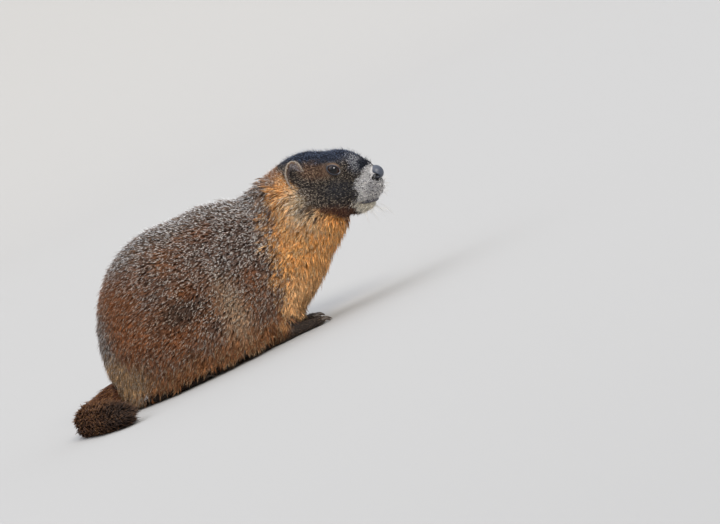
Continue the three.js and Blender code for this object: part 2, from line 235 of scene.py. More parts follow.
def circle_turns(count):
    """Even turns once round a circle, in radians."""
    return 2 * np.pi * np.arange(count) / count


def swung(turn, first, second):
    """Directions round a circle: the first axis times the turn's cosine plus the second times its sine."""
    return np.cos(turn)[..., None] * first + np.sin(turn)[..., None] * second


def ball_directions(rows, columns):
    """Directions all round, without the poles: polar angle down the rows, azimuth along the columns."""
    polar = np.pi * (np.arange(rows) + 1) / (rows + 1)
    polar, azimuth = np.meshgrid(polar, circle_turns(columns), indexing="ij")
    flat = np.sin(polar)
    return np.stack([flat * np.cos(azimuth), flat * np.sin(azimuth), np.cos(polar)], axis=-1)


def tube_quads(rows, columns):
    """Vertex numbers of a tube of points row by row, the next ones round it, and the quads between them."""
    index = np.arange(rows * columns).reshape(rows, columns)
    right = np.roll(index, -1, axis=1)
    return index, right, np.stack([index[:-1], index[1:], right[1:], right[:-1]], axis=-1).reshape(-1, 4)


def closed_grid(grid, first, last):
    """Vertices and faces of a tube of points (rows x columns) that is closed by a pole at either end. Where
    the volume that the faces enclose comes out negative they are turned over, so that they point outwards."""
    rows, columns = grid.shape[:2]
    index, right, sides = tube_quads(rows, columns)
    top = np.stack([np.full(columns, rows * columns), index[0], right[0]], axis=-1)
    bottom = np.stack([np.full(columns, rows * columns + 1), right[-1], index[-1]], axis=-1)
    caps = np.concatenate([top, bottom])
    points = np.concatenate([grid.reshape(-1, 3), [first], [last]])
    triangles = np.concatenate([sides[:, :3], sides[:, [0, 2, 3]], caps])
    a, b, c = (points - first)[triangles].transpose(1, 0, 2)
    if (a * np.cross(b, c)).sum() < 0:
        sides, caps = sides[:, ::-1], caps[:, ::-1]
    return points, sides, caps


def wrapped(field, centre, reach, rows=100, columns=150):
    """Radius over polar angle and azimuth: where the ray from the centre first leaves the field."""
    rays = np.concatenate([ball_directions(rows, columns).reshape(-1, 3), [[0, 0, 1]], [[0, 0, -1]]])
    inner, outer = np.zeros(len(rays)), np.full(len(rays), float(reach))
    still = np.ones(len(rays), bool)
    for distance in np.linspace(0, reach, 45)[1:]:
        inside = field(centre + rays * distance) < 0
        outer = np.where(still & ~inside, distance, outer)
        still &= inside
        inner = np.where(still, distance, inner)
    points = centre + rays * halved(field, centre, rays, inner, outer)[:, None]
    return closed_grid(points[:-2].reshape(rows, columns, 3), points[-2], points[-1])


def limited(field, *walls):
    """A field that also ends at planes: each wall is a plane, the side that is kept and how far past it."""

    def within(p):
        """Distance from the field or from a wall, whichever is greater."""
        ends = [-side * ahead_of(plane, p) - past for plane, side, past in walls]
        return np.maximum.reduce([field(p), *ends])

    return within


def all_faces(parts):
    """Joins parts of vertices, quads and triangles into one set."""
    starts = np.cumsum([0] + [len(points) for points, _, _ in parts])
    points = np.concatenate([part[0] for part in parts])
    quads = np.concatenate([part[1] + start for part, start in zip(parts, starts)])
    triangles = np.concatenate([part[2] + start for part, start in zip(parts, starts)])
    return points, quads, triangles


def add_mesh(name, points, quads, triangles):
    """A mesh of points in this script's millimetres, put into the model's frame in metres."""
    mesh = bpy.data.meshes.new(name)
    mesh.vertices.add(len(points))
    mesh.vertices.foreach_set("co", ((points + origin) / 1000).astype(np.float32).ravel())
    corners = np.concatenate([quads.ravel(), triangles.ravel()]).astype(np.int32)
    mesh.loops.add(len(corners))
    mesh.loops.foreach_set("vertex_index", corners)
    starts = np.concatenate([4 * np.arange(len(quads)), quads.size + 3 * np.arange(len(triangles))])
    mesh.polygons.add(len(starts))
    mesh.polygons.foreach_set("loop_start", starts.astype(np.int32))
    mesh.polygons.foreach_set("use_smooth", np.ones(len(starts), bool))
    mesh.update(calc_edges=True)
    mesh.validate()
    thing = bpy.data.objects.new(name, mesh)
    bpy.context.scene.collection.objects.link(thing)
    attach(thing, "root")
    return thing


def points_of(thing):
    """A mesh's vertices as an array, in this script's millimetres."""
    flat = np.empty(len(thing.data.vertices) * 3, np.float32)
    thing.data.vertices.foreach_get("co", flat)
    return flat.reshape(-1, 3).astype(float) * 1000 - origin


# Feet
# Flat plantigrade feet: a heel and a palm pad, with four toes in front and five behind. Bones and skin are
# one form here, and each toe is a tube along its middle line that swells at its joint and tapers to its tip.
def carried(path, radii, sides=14):
    """A round profile carried along a path: at each point a circle of the given radius, across the path."""
    path, radii = np.array(path, float), np.array(radii, float)
    along = unit(np.gradient(path, axis=0))
    side = unit(np.cross(along, [0.05, 0.1, 1.0]))
    up = np.cross(side, along)
    circle = swung(circle_turns(sides), side[:, None], up[:, None])
    grid = path[:, None] + circle * radii[:, None, None]
    return closed_grid(grid, path[0] - along[0] * radii[0] * 0.3, path[-1] + along[-1] * radii[-1] * 0.3)


def smooth_path(points, count):
    """Catmull-Rom curve through the points, at even steps of its parameter."""
    points = np.array(points, float)
    ends = np.concatenate([[2 * points[0] - points[1]], points, [2 * points[-1] - points[-2]]])
    t = np.linspace(0, len(points) - 1, count)
    k = np.minimum(t.astype(int), len(points) - 2)
    u = (t - k)[:, None]
    a, b, c, d = ends[k], ends[k + 1], ends[k + 2], ends[k + 3]
    return 0.5 * (2 * b + (c - a) * u + (2 * a - 5 * b + 4 * c - d) * u**2 + (3 * b - a - 3 * c + d) * u**3)


def egg_surface(at, size, axes=np.eye(3), rows=20, columns=28):
    """Egg over polar angle and azimuth: centre plus the turned, stretched direction."""
    at, size = np.array(at, float), np.array(size, float)
    grid = at + (ball_directions(rows, columns) * size) @ axes.T
    poles = at + (np.array([[0, 0, 1], [0, 0, -1]]) * size) @ axes.T
    return closed_grid(grid, *poles)


forefoot = {"at": (-11, 36), "yaw": -4, "length": 50, "width": 25, "toes": 4, "height": 13}
hindfoot = {"at": (-156, 44), "yaw": 4, "length": 76, "width": 30, "toes": 5, "height": 14}


def foot_frame(foot, sign):
    """Middle of a foot on the floor, and its axes."""
    x, y = foot["at"]
    return np.array([x, sign * y, 0.0]), turned(yaw=sign * foot["yaw"])


def toe_lines(foot, sign):
    """Middle line and claw line of each toe, fanned out across the foot, and the toe's radius."""
    place, axes = foot_frame(foot, sign)
    across = np.linspace(-1, 1, foot["toes"])
    reach = foot["length"] * (0.56 - 0.07 * across**2)
    spread = across * foot["width"] * 0.4
    thick = foot["width"] / foot["toes"] * 0.56
    rows = []
    for r, s in zip(reach, spread):
        root = (foot["length"] * 0.12, s * 0.8, thick * 1.3)
        joint = (r * 0.72, s * 1.02, thick * 1.25)
        end = (r - 1.5, s * 1.12, thick * 0.98)
        claw = [(r - 2.5, s * 1.12, thick * 1.4), (r + 2.5, s * 1.14, thick * 1.25)]
        claw += [(r + 5.5, s * 1.15, 2.2), (r + 7, s * 1.16, 0.8)]
        rows.append((place + np.array([root, joint, end]) @ axes.T, place + np.array(claw) @ axes.T, thick))
    return rows


def foot_parts(foot, sign):
    """Heel, palm and toes."""
    place, axes = foot_frame(foot, sign)
    long, wide, high = foot["length"], foot["width"], foot["height"]
    heel = egg_surface(place + axes @ [0, 0, high * 0.42], (long * 0.35, wide * 0.4, high * 0.42), axes)
    palm = egg_surface(place + axes @ [long * 0.14, 0, 5], (long * 0.22, wide * 0.47, 5), axes)
    swelling = np.array([1, 1, 0.98, 1.0, 1.08, 1.02, 0.98, 0.9, 0.6])  # of a toe, from its root to its tip
    toes = [carried(smooth_path(line, 9), thick * swelling - 0.4) for line, _, thick in toe_lines(foot, sign)]
    return [heel, palm, *toes]


def leg_parts(sign):
    """Forearm down to the wrist, and the ankle that joins the hind foot to the haunch."""
    x, y = forefoot["at"]
    elbow, middle, wrist = (x - 30, sign * (y + 2), 34), (x - 16, sign * (y + 1), 20), (x - 5, sign * y, 8)
    forearm = carried(smooth_path([elbow, middle, wrist], 12), np.linspace(14, 7.5, 12), 24)
    x, y = hindfoot["at"]
    return [forearm, egg_surface((x - 4, sign * y, 16), (24, 13, 14))]


# Tail
# The tail leaves the rump close to the ground and is laid round to the right on the floor. Under its long
# hair are the tail bones in a sleeve of skin about as thick as a thumb.
tail_length = 165.0
tail_radius = 19.0  # out to the ends of its hair
tail_start = -192  # how far back it leaves the rump


def tail_curve(t):
    """Place and direction along the tail: its heading swings by 115 degrees, and is summed over even steps.
    Past its end it goes on straight."""
    steps = np.linspace(0, 1, 200)
    heading = np.radians(180 + 95 * ramp(steps, 0.05, 0.6) + 20 * steps)
    x = np.cumsum(np.cos(heading)) * tail_length / 200
    y = np.cumsum(np.sin(heading)) * tail_length / 200
    angle = np.interp(t, steps, heading)
    along = np.stack([np.cos(angle), np.sin(angle), 0 * angle], axis=-1)
    height = 12 + 11 * (1 - ramp(t, 0, 0.4))
    place = np.stack([tail_start + np.interp(t, steps, x), np.interp(t, steps, y), height], axis=-1)
    return place + along * (np.maximum(t - 1, 0) * tail_length)[..., None], along


def tail_core(t):
    """Radius of the sleeve, which narrows to a blunt tip."""
    return 8.5 * np.sqrt(1.03 - ramp(t, 0.4, 1.1) ** 2)


def tail_point(t, turn, radius):
    """Place at a radius from the tail's middle line, and the way out of it, by length and turn round it."""
    place, along = tail_curve(t)
    across = np.stack([-along[..., 1], along[..., 0], 0 * t], axis=-1)
    away = swung(turn, across, np.array([0, 0, 1.0]))
    return place + away * radius[..., None], away


tail_steps = np.linspace(0, 0.97, 50)
tail_sleeve = carried(tail_curve(tail_steps)[0], tail_core(tail_steps), 24)

# Skin
# One tanned skin over the whole manikin, from the lips to the tip of the tail. It lies under the outline by
# the depth of the coat, and is joined out of its parts by a voxel remesh and then drawn onto the blend.
parts = [
    wrapped(limited(skin_level, (collar, -1, 8)), np.array([-92, 0, 80.0]), 260),
    wrapped(limited(skin_level, (collar, 1, 8), (nape, -1, 8)), np.array([26, -3, 104.0]), 160),
    wrapped(limited(skin_level, (nape, 1, 8)), from_skull(np.array([13, 0, -2])), 130, 130, 190),
    tail_sleeve,
]
for sign in (1, -1):
    parts += leg_parts(sign) + foot_parts(forefoot, sign) + foot_parts(hindfoot, sign)
skin = add_mesh("skin", *all_faces(parts))
bpy.context.view_layer.objects.active = skin
joined = skin.modifiers.new("joined", "REMESH")
joined.mode = "VOXEL"
joined.voxel_size = 0.0017
joined.use_smooth_shade = True
bpy.ops.object.modifier_apply(modifier=joined.name)
smoothed = skin.modifiers.new("smoothed", "SMOOTH")
smoothed.factor = 0.5
smoothed.iterations = 3
bpy.ops.object.modifier_apply(modifier=smoothed.name)
p = points_of(skin)
for _ in range(2):
    level = skin_level(p)
    near = (1 - ramp(np.abs(level), 1.5, 3)) * ramp(p[:, 2], 15, 19)
    p = p - outward(p) * (level * near)[:, None]


def mouth_line(x):
    """Height of the mouth line on the skull at a distance forward: straight, rising by 10 degrees."""
    return -13.6 + (x - 48) * 0.176


def beside_nose(h):
    """Distance from the hollow below either nostril, in widths of it."""
    mirrored = h * [1, 0, 1] + np.abs(h) * [0, 1, 0]
    return np.linalg.norm((mirrored - [52.5, 7.5, 6.0]) / [4.8, 4.0, 3.4], axis=-1)


h = in_skull(p)
lips = np.exp(-(((h[:, 2] - mouth_line(h[:, 0])) / 1.3) ** 2)) * ramp(h[:, 0], 26, 31)
cleft = np.exp(-((h[:, 1] / 1.3) ** 2)) * ramp(h[:, 0], 48, 51) * ramp(h[:, 2], -14, -12)
carved = 2.4 * lips + 2.4 * cleft + 5.5 * np.exp(-(beside_nose(h) ** 2))
p = p - outward(p) * (head_share(p) * carved)[:, None]
p[:, 2] = np.maximum(p[:, 2], 0.0)
skin.data.vertices.foreach_set("co", ((p + origin) / 1000).astype(np.float32).ravel())
skin.data.update()
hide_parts("torso", "neck", "head", "foreleg_left", "foreleg_right", "hindleg_left", "hindleg_right")
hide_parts("forefoot_left", "forefoot_right", "hindfoot_left", "hindfoot_right")
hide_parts("tail_base", "tail_middle", "tail_tip")


# Colours of the coat
# A yellow-bellied marmot's hairs are dark at the root and pale at the tip, so its brown back looks peppered
# with white; its breast is rusty orange, its crown black, its muzzle white and its feet and tail dark.
def linear(code):
    """sRGB hex to linear light."""
    c = np.array([int(code[i : i + 2], 16) for i in (1, 3, 5)]) / 255
    return np.where(c <= 0.04045, c / 12.92, ((c + 0.055) / 1.055) ** 2.4)


def waves(p, size, seed):
    """Smooth unevenness from -1 to 1: eight sine waves of about one length in random directions, summed."""
    draw = np.random.default_rng(seed)
    direction = draw.normal(size=(3, 8))
    direction *= 2 * np.pi / (size * draw.uniform(0.7, 1.5, 8)) / np.linalg.norm(direction, axis=0)
    return np.sin(p @ direction + draw.uniform(0, 2 * np.pi, 8)).sum(axis=1) / 3.2


def patch(p, at, size, edge=0.5):
    """1 inside an oval seen from either side and 0 outside, with an edge as soft as a share of its size."""
    off = (p[:, [0, 2]] - at) / size
    return 1 - ramp(np.linalg.norm(off, axis=1), 1 - edge, 1 + edge)


class Dye:
    """Colours of hairs: of the length of a hair, of its tip, and the share of hairs with a pale tip."""

    def __init__(self, count, base, tip="#000000", pale=0.0):
        self.base = np.repeat(linear(base)[None], count, axis=0)
        self.tip = np.repeat(linear(tip)[None], count, axis=0)
        self.pale = np.full(count, float(pale))

    def paint(self, share, base=None, tip=None, pale=None):
        """Lays new values over the old ones by a share from 0 to 1."""
        share = np.clip(share, 0, 1)
        if base is not None:
            self.base += (linear(base) - self.base) * share[:, None]
        if tip is not None:
            self.tip += (linear(tip) - self.tip) * share[:, None]
        if pale is not None:
            self.pale += (pale - self.pale) * share

    def cover(self, other, share):
        """Lays another dye over this one by a share from 0 to 1."""
        self.base += (other.base - self.base) * share[:, None]
        self.tip += (other.tip - self.tip) * share[:, None]
        self.pale += (other.pale - self.pale) * share


rust_patches = (  # share, middle and half size, seen from the side
    (1, (-136, 66), (36, 26)),  # haunch
    (1, (-172, 108), (26, 38)),  # rump
    (0.6, (-56, 142), (14, 12)),  # behind the withers
    (1, (-96, 93), (8, 7)),  # ribs
    (0.8, (-29, 80), (7, 13)),  # shoulder
)


def markings(p):
    """Colours of the coat at places on the body and the head."""
    x, y, z = p.T
    mottle, fine = waves(p, 26, 1), waves(p, 11, 2)
    dye = Dye(len(p), "#85604a", "#ece2d6", 0.55)
    dye.paint(0.6 * ramp(mottle, 0.0, 0.9), "#8a5a36")
    dye.paint(0.7 * ramp(-mottle, 0.1, 0.9), "#5c4438")
    dye.paint(0.8 * patch(p, (-25, 118), (50, 36), 0.6), "#725e54", "#f8f4ee", 0.7)
    rust = sum(share * patch(p, at, size) for share, at, size in rust_patches) + 0.5 * ramp(-x, 150, 190)
    dye.paint(0.85 * rust, "#8a5531", "#e6ccb4", 0.45)
    dye.paint(0.8 * patch(p, (-112, 78), (28, 12), 0.7), "#46382f", pale=0.3)
    dye.paint(0.7 * patch(p, (-61, 50), (13, 40), 0.7), "#bc9a7a", "#f0e2ca")
    back = 1 - ramp(np.abs(y) + 4 * fine, 18, 40)
    top = back * np.maximum(ramp(z, 122, 150), ramp(-x, 170, 195) * ramp(z, 25, 50)) * (1 - ramp(x, 15, 40))
    dye.paint(0.9 * top, "#746458", "#ffffff", 0.8)
    hem = (1 - ramp(z + 5 * fine, 26, 46)) * ramp(-x, -5, 30)
    dye.paint(0.85 * hem, "#8a5830", "#d8b080", 0.4)
    # Darker lowest hair at the rear of the hem, over the tail's root: the coat's own darker hair and painted
    # shade under the rump as well.
    dye.paint(0.8 * hem * ramp(-x, 175, 195), "#5a3f2e", "#a88a6a", 0.35)
    fringe = 1 - ramp(z + 6 * fine - 18 * ramp(-x, 176, 194), 38, 60)  # pale hair over the tail's root
    dye.paint(0.9 * (fringe * ramp(-x, 156, 188) * ramp(z, 19, 30)), "#cfa678", "#fff2de", 0.85)
    edge = np.interp(z, [20, 40, 60, 85, 116, 155], [-11, -9, -6, -1, 16, 27])
    breast = ramp(x + 8 * fine + 5 * mottle, edge - 12, edge + 12)
    withers = (1 - ramp(np.abs(y + 0.22 * np.maximum(x, 0)), 12, 28)) * ramp(z, 122, 145)
    breast = breast * (1 - 0.9 * withers)
    dye.paint(breast, "#f2ac62", "#ffe0b0", 0.55)
    dye.paint(0.6 * breast * ramp(waves(p * [1, 1, 0.5], 12, 3), 0.1, 0.9), "#e9b878")
    # Painted light: the lower breast is painted lighter to lift the shade that falls on it.
    dye.paint(0.9 * breast * (1 - ramp(z, 45, 80)), "#ffc88c")
    dye.paint(breast * patch(p, (53, 123), (18, 16), 0.8), "#e2c6a0", "#fbf2e2", 0.65)
    dye.paint(0.6 * (1 - ramp(z, 11, 20)), "#9a6a3a")
    forward, _, up = in_skull(p).T
    edge = np.interp(up, [-34, -24, -18, 0, 10, 22, 34], [30, 2, -14, -23, -38, -50, -60])
    head = ramp(forward + 3 * fine, edge - 5, edge + 5)
    head = head * ramp(up + 2 * fine + 14 * ramp(forward, 8, 24), -30, -23) * ramp(forward, -75, -60)
    dye.cover(head_markings(p), head)
    fore = ramp(x, -42, -30) * (1 - ramp(z, 16, 26)) * (1 - ramp(x, 60, 70))
    hind = (1 - ramp(z, 12, 15)) * ramp(x, -200, -190) * (1 - ramp(x, -104, -100)) * (np.abs(y) > 22)
    dye.paint(np.maximum(fore, hind), "#3d322c", "#8a7458", 0.3)
    return dye


def head_markings(p):
    """Colours of the head, by place on the skull. The sides of the face are marked further forward."""
    h = in_skull(p)
    h[:, 0] -= 0.23 * np.abs(h[:, 1])
    x, y, z = h.T
    fine = waves(p, 7, 4)
    dye = Dye(len(p), "#37312f", "#d2bfa8", 0.45)
    dye.paint(patch(h, (-12, 17), (16, 9)), "#6a5040", "#cba888", 0.5)
    # The crown is black with grizzled tips; the blue in them is a painted sheen of the sky.
    dye.paint(ramp(z + 2 * fine, 20, 28), "#1b2030", "#7484a2", 0.5)
    dye.paint(0.8 * patch(h, (14, -3), (17, 9)), "#35353b", "#9a9284", 0.22)
    dye.paint(0.8 * patch(h, (-30, -8), (12, 8), 0.6), "#6a5648", "#f2eade", 0.7)
    dye.paint(patch(h, (29, 23), (7, 9)) * ramp(np.abs(y), 2, 5), "#5a5b66", "#ffffff", 0.85)
    # Dark band over the bridge of the nose, also tinted blue as a painted sheen of the sky.
    dye.paint(ramp(x, 30, 34) * ramp(z, 13, 17) * (1 - ramp(z, 22, 26)), "#181c28", "#50586a", 0.3)
    dye.paint(0.9 * ramp(-z, 14, 22) * (1 - ramp(x, 25, 33)), "#5a3526", "#b98a64", 0.4)
    heights = [-36, -27, -22, -18, -14, -10, -3, 8, 17, 20]
    edge = np.interp(z, heights, [32, 32, 30, 22, 25, 29, 27, 31, 38, 45])
    streaks = waves(h * [0.2, 1, 1], 4, 9)  # long white hairs that reach back over the dark ones
    white = ramp(x + 1.5 * fine + 2.5 * streaks, edge - 1.0, edge + 2.0) * (1 - ramp(z, 17, 21))
    dye.paint(white, "#e9e6e5", "#ffffff", 0.6)
    dye.paint(0.7 * white * patch(h, (46, -4), (6, 8)), "#9c999c", "#d8d4d2")
    dye.paint(0.5 * white * ramp(streaks, 0.2, 0.9), "#8d8a92")
    # Dark bare skin in the cleft below the nose and in the hollows below the nostrils, painted near black as
    # the shade inside these recesses.
    shaded_cleft = (1 - ramp(np.abs(y) - 0.07 * z, 3.6, 4.8)) * ramp(x, 45, 48) * ramp(z, -15, -12)
    dye.paint(np.maximum(shaded_cleft, 1 - ramp(beside_nose(in_skull(p)), 1.2, 1.5)), "#0c0b0e", "#1c1b20", 0)
    chin = white * ramp(-z, 15, 18)
    dye.paint(chin, "#efe6d4", "#fffaf0", 0.6)
    dye.paint(0.5 * chin * ramp(streaks, 0, 0.8), "#a3937c")
    return dye


def tail_markings(t):
    """Rufous at the root, dark brown along the middle and near black at the end, with tawny tips."""
    dye = Dye(len(t), "#5f3820", "#9c6e42", 0.45)
    dye.paint(ramp(t, 0.12, 0.5), "#573826", "#94683e", 0.45)
    dye.paint(ramp(t, 0.6, 0.95), "#33241d", "#664832", 0.35)
    return dye


def keep_colours(mesh, **values):
    """Stores arrays on a mesh's vertices: three columns as a colour, one as a number."""
    for name, value in values.items():
        value = np.asarray(value, np.float32)
        if value.ndim == 2:
            attribute = mesh.attributes.new(name, "FLOAT_COLOR", "POINT")
            full = np.concatenate([value, np.ones((len(value), 1), np.float32)], axis=1)
            attribute.data.foreach_set("color", full.ravel())
        else:
            mesh.attributes.new(name, "FLOAT", "POINT").data.foreach_set("value", value)


def node(tree, kind, links=(), **settings):
    """Adds a node. Settings are its own fields or, for a name it lacks, its inputs. Links are pairs of an
    input and a source, which is another node's output or a plain value."""
    made = tree.nodes.new(kind)
    for name, value in settings.items():
        if hasattr(made, name):
            setattr(made, name, value)
        else:
            made.inputs[name.replace("_", " ")].default_value = value
    for target, source in links:
        if isinstance(source, bpy.types.NodeSocket):
            tree.links.new(source, made.inputs[target])
        else:
            made.inputs[target].default_value = source
    return made


def material_of(name, surface_links, setup, **settings):
    """A material with one surface: setup adds the nodes that feed it and gives the sources by name."""
    made = bpy.data.materials.new(name)
    made.use_nodes = True
    tree = made.node_tree
    tree.nodes.clear()
    sources = setup(tree)
    links = [(socket, sources[key]) for socket, key in surface_links.items()]
    surface = node(tree, "ShaderNodeBsdfPrincipled", links, **settings)
    node(tree, "ShaderNodeOutputMaterial", [("Surface", surface.outputs["BSDF"])])
    return made


# Soft under-wool over tanned skin, which gives the gaps between the locks a matt depth: the same markings,
# half as bright because the coat shades it, with a felted grain about 1.5 mm across.
def felted(tree):
    """The stored colour times 0.35 to 0.8 by a noise, which is the relief as well."""
    colour = node(tree, "ShaderNodeAttribute", attribute_name="coat")
    place = node(tree, "ShaderNodeTexCoord")
    grain = node(tree, "ShaderNodeTexNoise", [("Vector", place.outputs["Object"])], Scale=650.0, Detail=3.0)
    shade = node(tree, "ShaderNodeMapRange", [("Value", grain.outputs["Fac"])], To_Min=0.35, To_Max=0.8)
    links = [(0, colour.outputs["Color"]), ("Scale", shade.outputs["Result"])]
    dark = node(tree, "ShaderNodeVectorMath", links, operation="SCALE")
    bump = node(tree, "ShaderNodeBump", [("Height", grain.outputs["Fac"])], Strength=0.6, Distance=0.001)
    return {"colour": dark.outputs["Vector"], "relief": bump.outputs["Normal"]}


coloured_relief = {"Base Color": "colour", "Normal": "relief"}
wool = material_of("under_wool", coloured_relief, felted, Roughness=0.85, Specular_IOR_Level=0.25)
p = points_of(skin)
under = markings(p).base
from_root = np.clip(np.linalg.norm(p - [tail_start, 0, 20], axis=1) / tail_length, 0, 1)
on_tail = (p[:, 0] < tail_start - 4) & (p[:, 2] < 34) & (sides_of_body(p) > 1)
under[on_tail] = tail_markings(from_root[on_tail]).base
keep_colours(skin.data, coat=under)
skin.data.materials.append(wool)


# Guard hairs
# Slender guard hairs in small locks, rooted in the skin and lying along the body. Each hair is a thin closed
# spindle, dark at its root and coloured along its middle; a ticked one has a dark band and a pale tip.
def sampled(surface, per_area, want):
    """Even random places on a mesh's faces with their normals: want gives the wanted share at each face,
    and per_area the most per square millimetre."""
    mesh = surface.data
    mesh.calc_loop_triangles()
    corners = np.empty(len(mesh.loop_triangles) * 3, np.int32)
    mesh.loop_triangles.foreach_get("vertices", corners)
    corners = points_of(surface)[corners.reshape(-1, 3)]
    cross = np.cross(corners[:, 1] - corners[:, 0], corners[:, 2] - corners[:, 0])
    area = np.linalg.norm(cross, axis=1) / 2
    weight = np.cumsum(area * want(corners.mean(axis=1)) * per_area)
    count = int(weight[-1])
    pick = np.searchsorted(weight, (np.arange(count) + random.random(count)) * weight[-1] / count)
    pick = np.minimum(pick, len(area) - 1)
    a, b = random.random((2, count, 1))
    a, b = np.where(a + b > 1, 1 - a, a), np.where(a + b > 1, 1 - b, b)
    first, second, third = corners[pick].transpose(1, 0, 2)
    return first + (second - first) * a + (third - first) * b, unit(cross[pick])


def laid_on(normal, lie):
    """Directions in a surface: what they have along its normal is taken away."""
    return unit(lie - normal * (lie * normal).sum(axis=1, keepdims=True))


def combed(p, normal):
    """Lie of the coat: back along the flanks, down the rump and breast, from the nose over the head."""
    x, y, z = p.T
    fall = 0.12 + 0.5 * (1 - ramp(z, 60, 150)) + 2.0 * (1 - ramp(z, 14, 45))
    fall = fall + 2.2 * ramp(-x, 140, 205) * (1 - ramp(z, 120, 165))
    trunk = np.stack([-np.ones_like(x), 0 * x, -fall], axis=-1)
    front = ramp(-normal[:, 2] + normal[:, 0], 0.2, 1.0)
    neck = np.stack([-0.78 + 0.25 * front, 0.15 * np.sign(y) * front, -0.62 - 0.2 * front], axis=-1)
    h = in_skull(p)
    cheek = ramp(-h[:, 2], -12, 14) * ramp(-h[:, 0], -28, 10)
    skull = np.stack([-np.ones_like(x), 0.12 * np.sign(h[:, 1]), 0.05 - 0.5 * cheek], axis=-1)
    head, of_neck = head_share(p)[:, None], neck_share(p)[:, None]
    lie = unit(head * unit(skull @ skull_turn.T) + of_neck * unit(neck) + (1 - head - of_neck) * unit(trunk))
    return laid_on(normal, lie + 0.16 * waves(p, 30, 7)[:, None] * np.cross(normal, lie))


def around_body(p):
    """An unwrap of the body's own shape: length along the spine, and angle about a line through it."""
    x, y, z = p.T
    middle = np.interp(x, [-210, -60, 40, 90, 140], [70, 80, 105, 125, 105])
    across = np.interp(x, [-210, 30, 140], [0, 0, -32])
    return np.stack([(x + 260) / 420, np.arctan2(y - across, z - middle) / (2 * np.pi) + 0.5], axis=-1)


def spindles(name, root, middle, tip, wide, normal, base, end, ticked, unwrap, bent_at=0.66):
    """Hairs as three-sided spindles: a point at the root, a triangle across the hair two thirds along, and
    a point at the tip. In the unwrap each is a patch of 0.003, on a grid of such patches, at its root."""
    along = unit(tip - root)
    side = unit(np.cross(along, normal))
    up = np.cross(side, along)
    half = wide[:, None] / 2
    ring = [middle + side * half, middle - side * half, middle + up * half * 0.8]
    points = np.stack([root, *ring, tip], axis=1)
    count = len(root)
    pattern = np.array([(1, 2, 4), (2, 3, 4), (3, 1, 4), (2, 1, 0), (3, 2, 0), (1, 3, 0)])
    faces = (pattern + 5 * np.arange(count)[:, None, None]).reshape(-1, 3)
    piece = add_mesh(name, points.reshape(-1, 3), np.zeros((0, 4), int), faces)
    colours = {"coat": base, "tip": end, "ticked": ticked}
    colours = {key: np.repeat(value, 5, axis=0) for key, value in colours.items()}
    keep_colours(piece.data, along=np.tile([0, bent_at, bent_at, bent_at, 1.0], count), **colours)
    corners = np.array([[0, 0], [2.4, 0.4], [1.4, 1.4], [0.4, 2.4], [3, 3]]) / 1000
    patches = (np.floor(unwrap / 0.0033) * 0.0033)[:, None] + corners
    layer = piece.data.uv_layers.new(name="OFBake")
    layer.data.foreach_set("uv", patches.reshape(-1, 2)[faces.ravel()].astype(np.float32).ravel())
    piece.data.materials.append(hair)
    return piece


# Keratin guard hair, satin like real fur: darker towards its root, by the hair's own dark base and by painted
# shade of the coat's depth as well, and where it is ticked a dark band and then a pale tip over the last
# fifth.
def banded(tree):
    """The stored colour times the root's darkening, which is partly painted shade, and 1 less that of the
    band, then the tip's colour.
    """
    names = ("coat", "tip", "ticked", "along")
    coat, tip, ticked, along = [node(tree, "ShaderNodeAttribute", attribute_name=name) for name in names]
    zones = {"root": (0, 0.45, 0.35, 1), "band": (0.42, 0.58, 0, 0.6), "past": (0.7, 0.8, 1, 0)}
    zones["end"] = (0.76, 0.84, 0, 1)  # from, to and the value at either end
    share = {}
    for zone, (start, stop, first, last) in zones.items():
        reach = {"From_Min": start, "From_Max": stop, "To_Min": first, "To_Max": last}
        links = [("Value", along.outputs["Fac"])]
        made = node(tree, "ShaderNodeMapRange", links, interpolation_type="SMOOTHSTEP", **reach)
        share[zone] = made.outputs["Result"]
    band = node(tree, "ShaderNodeMath", [(0, share["band"]), (1, share["past"])], operation="MULTIPLY")
    links = [(0, band.outputs[0]), (1, ticked.outputs["Fac"])]
    dark = node(tree, "ShaderNodeMath", links, operation="MULTIPLY")
    light = node(tree, "ShaderNodeMath", [(0, 1.0), (1, dark.outputs[0])], operation="SUBTRACT")
    shade = node(tree, "ShaderNodeMath", [(0, share["root"]), (1, light.outputs[0])], operation="MULTIPLY")
    pale = node(tree, "ShaderNodeMath", [(0, share["end"]), (1, ticked.outputs["Fac"])], operation="MULTIPLY")
    links = [(0, coat.outputs["Color"]), ("Scale", shade.outputs[0])]
    length = node(tree, "ShaderNodeVectorMath", links, operation="SCALE")
    links = [(0, pale.outputs[0]), (6, length.outputs["Vector"]), (7, tip.outputs["Color"])]
    return {"colour": node(tree, "ShaderNodeMix", links, data_type="RGBA").outputs[2]}


hair = material_of("guard_hair", {"Base Color": "colour"}, banded, Roughness=0.55, Specular_IOR_Level=0.35)


def levelled(p, target, field):
    """Moves points along the outward direction until they lie at a distance from the outline."""
    return p + outward(p, field) * (target - field(p))[:, None]


def mixed_markings(place, reach):
    """Markings taken a little way beside each root, so that hairs of neighbouring colours mix."""
    return markings(place + random.normal(0, reach, place.shape))


def lying(place, lie, length, rise, field, wild=0.13):
    """Middle and tip of locks that lie along the body, with a little sway: they rise from the skin by a
    height over their length and follow the outline."""
    count = len(place)
    long = length * random.uniform(0.8, 1.2, count)
    height = rise * random.uniform(0.75, 1.25, count) - coat_depth(place)
    sway = random.normal(0, wild, (count, 1)) * np.cross(outward(place, field), lie)
    middle = levelled(place + (lie + 0.6 * sway) * (0.66 * long)[:, None], height - 0.25 * rise, field)
    tip = levelled(place + (lie + sway) * long[:, None], height, field)
    return middle, tip


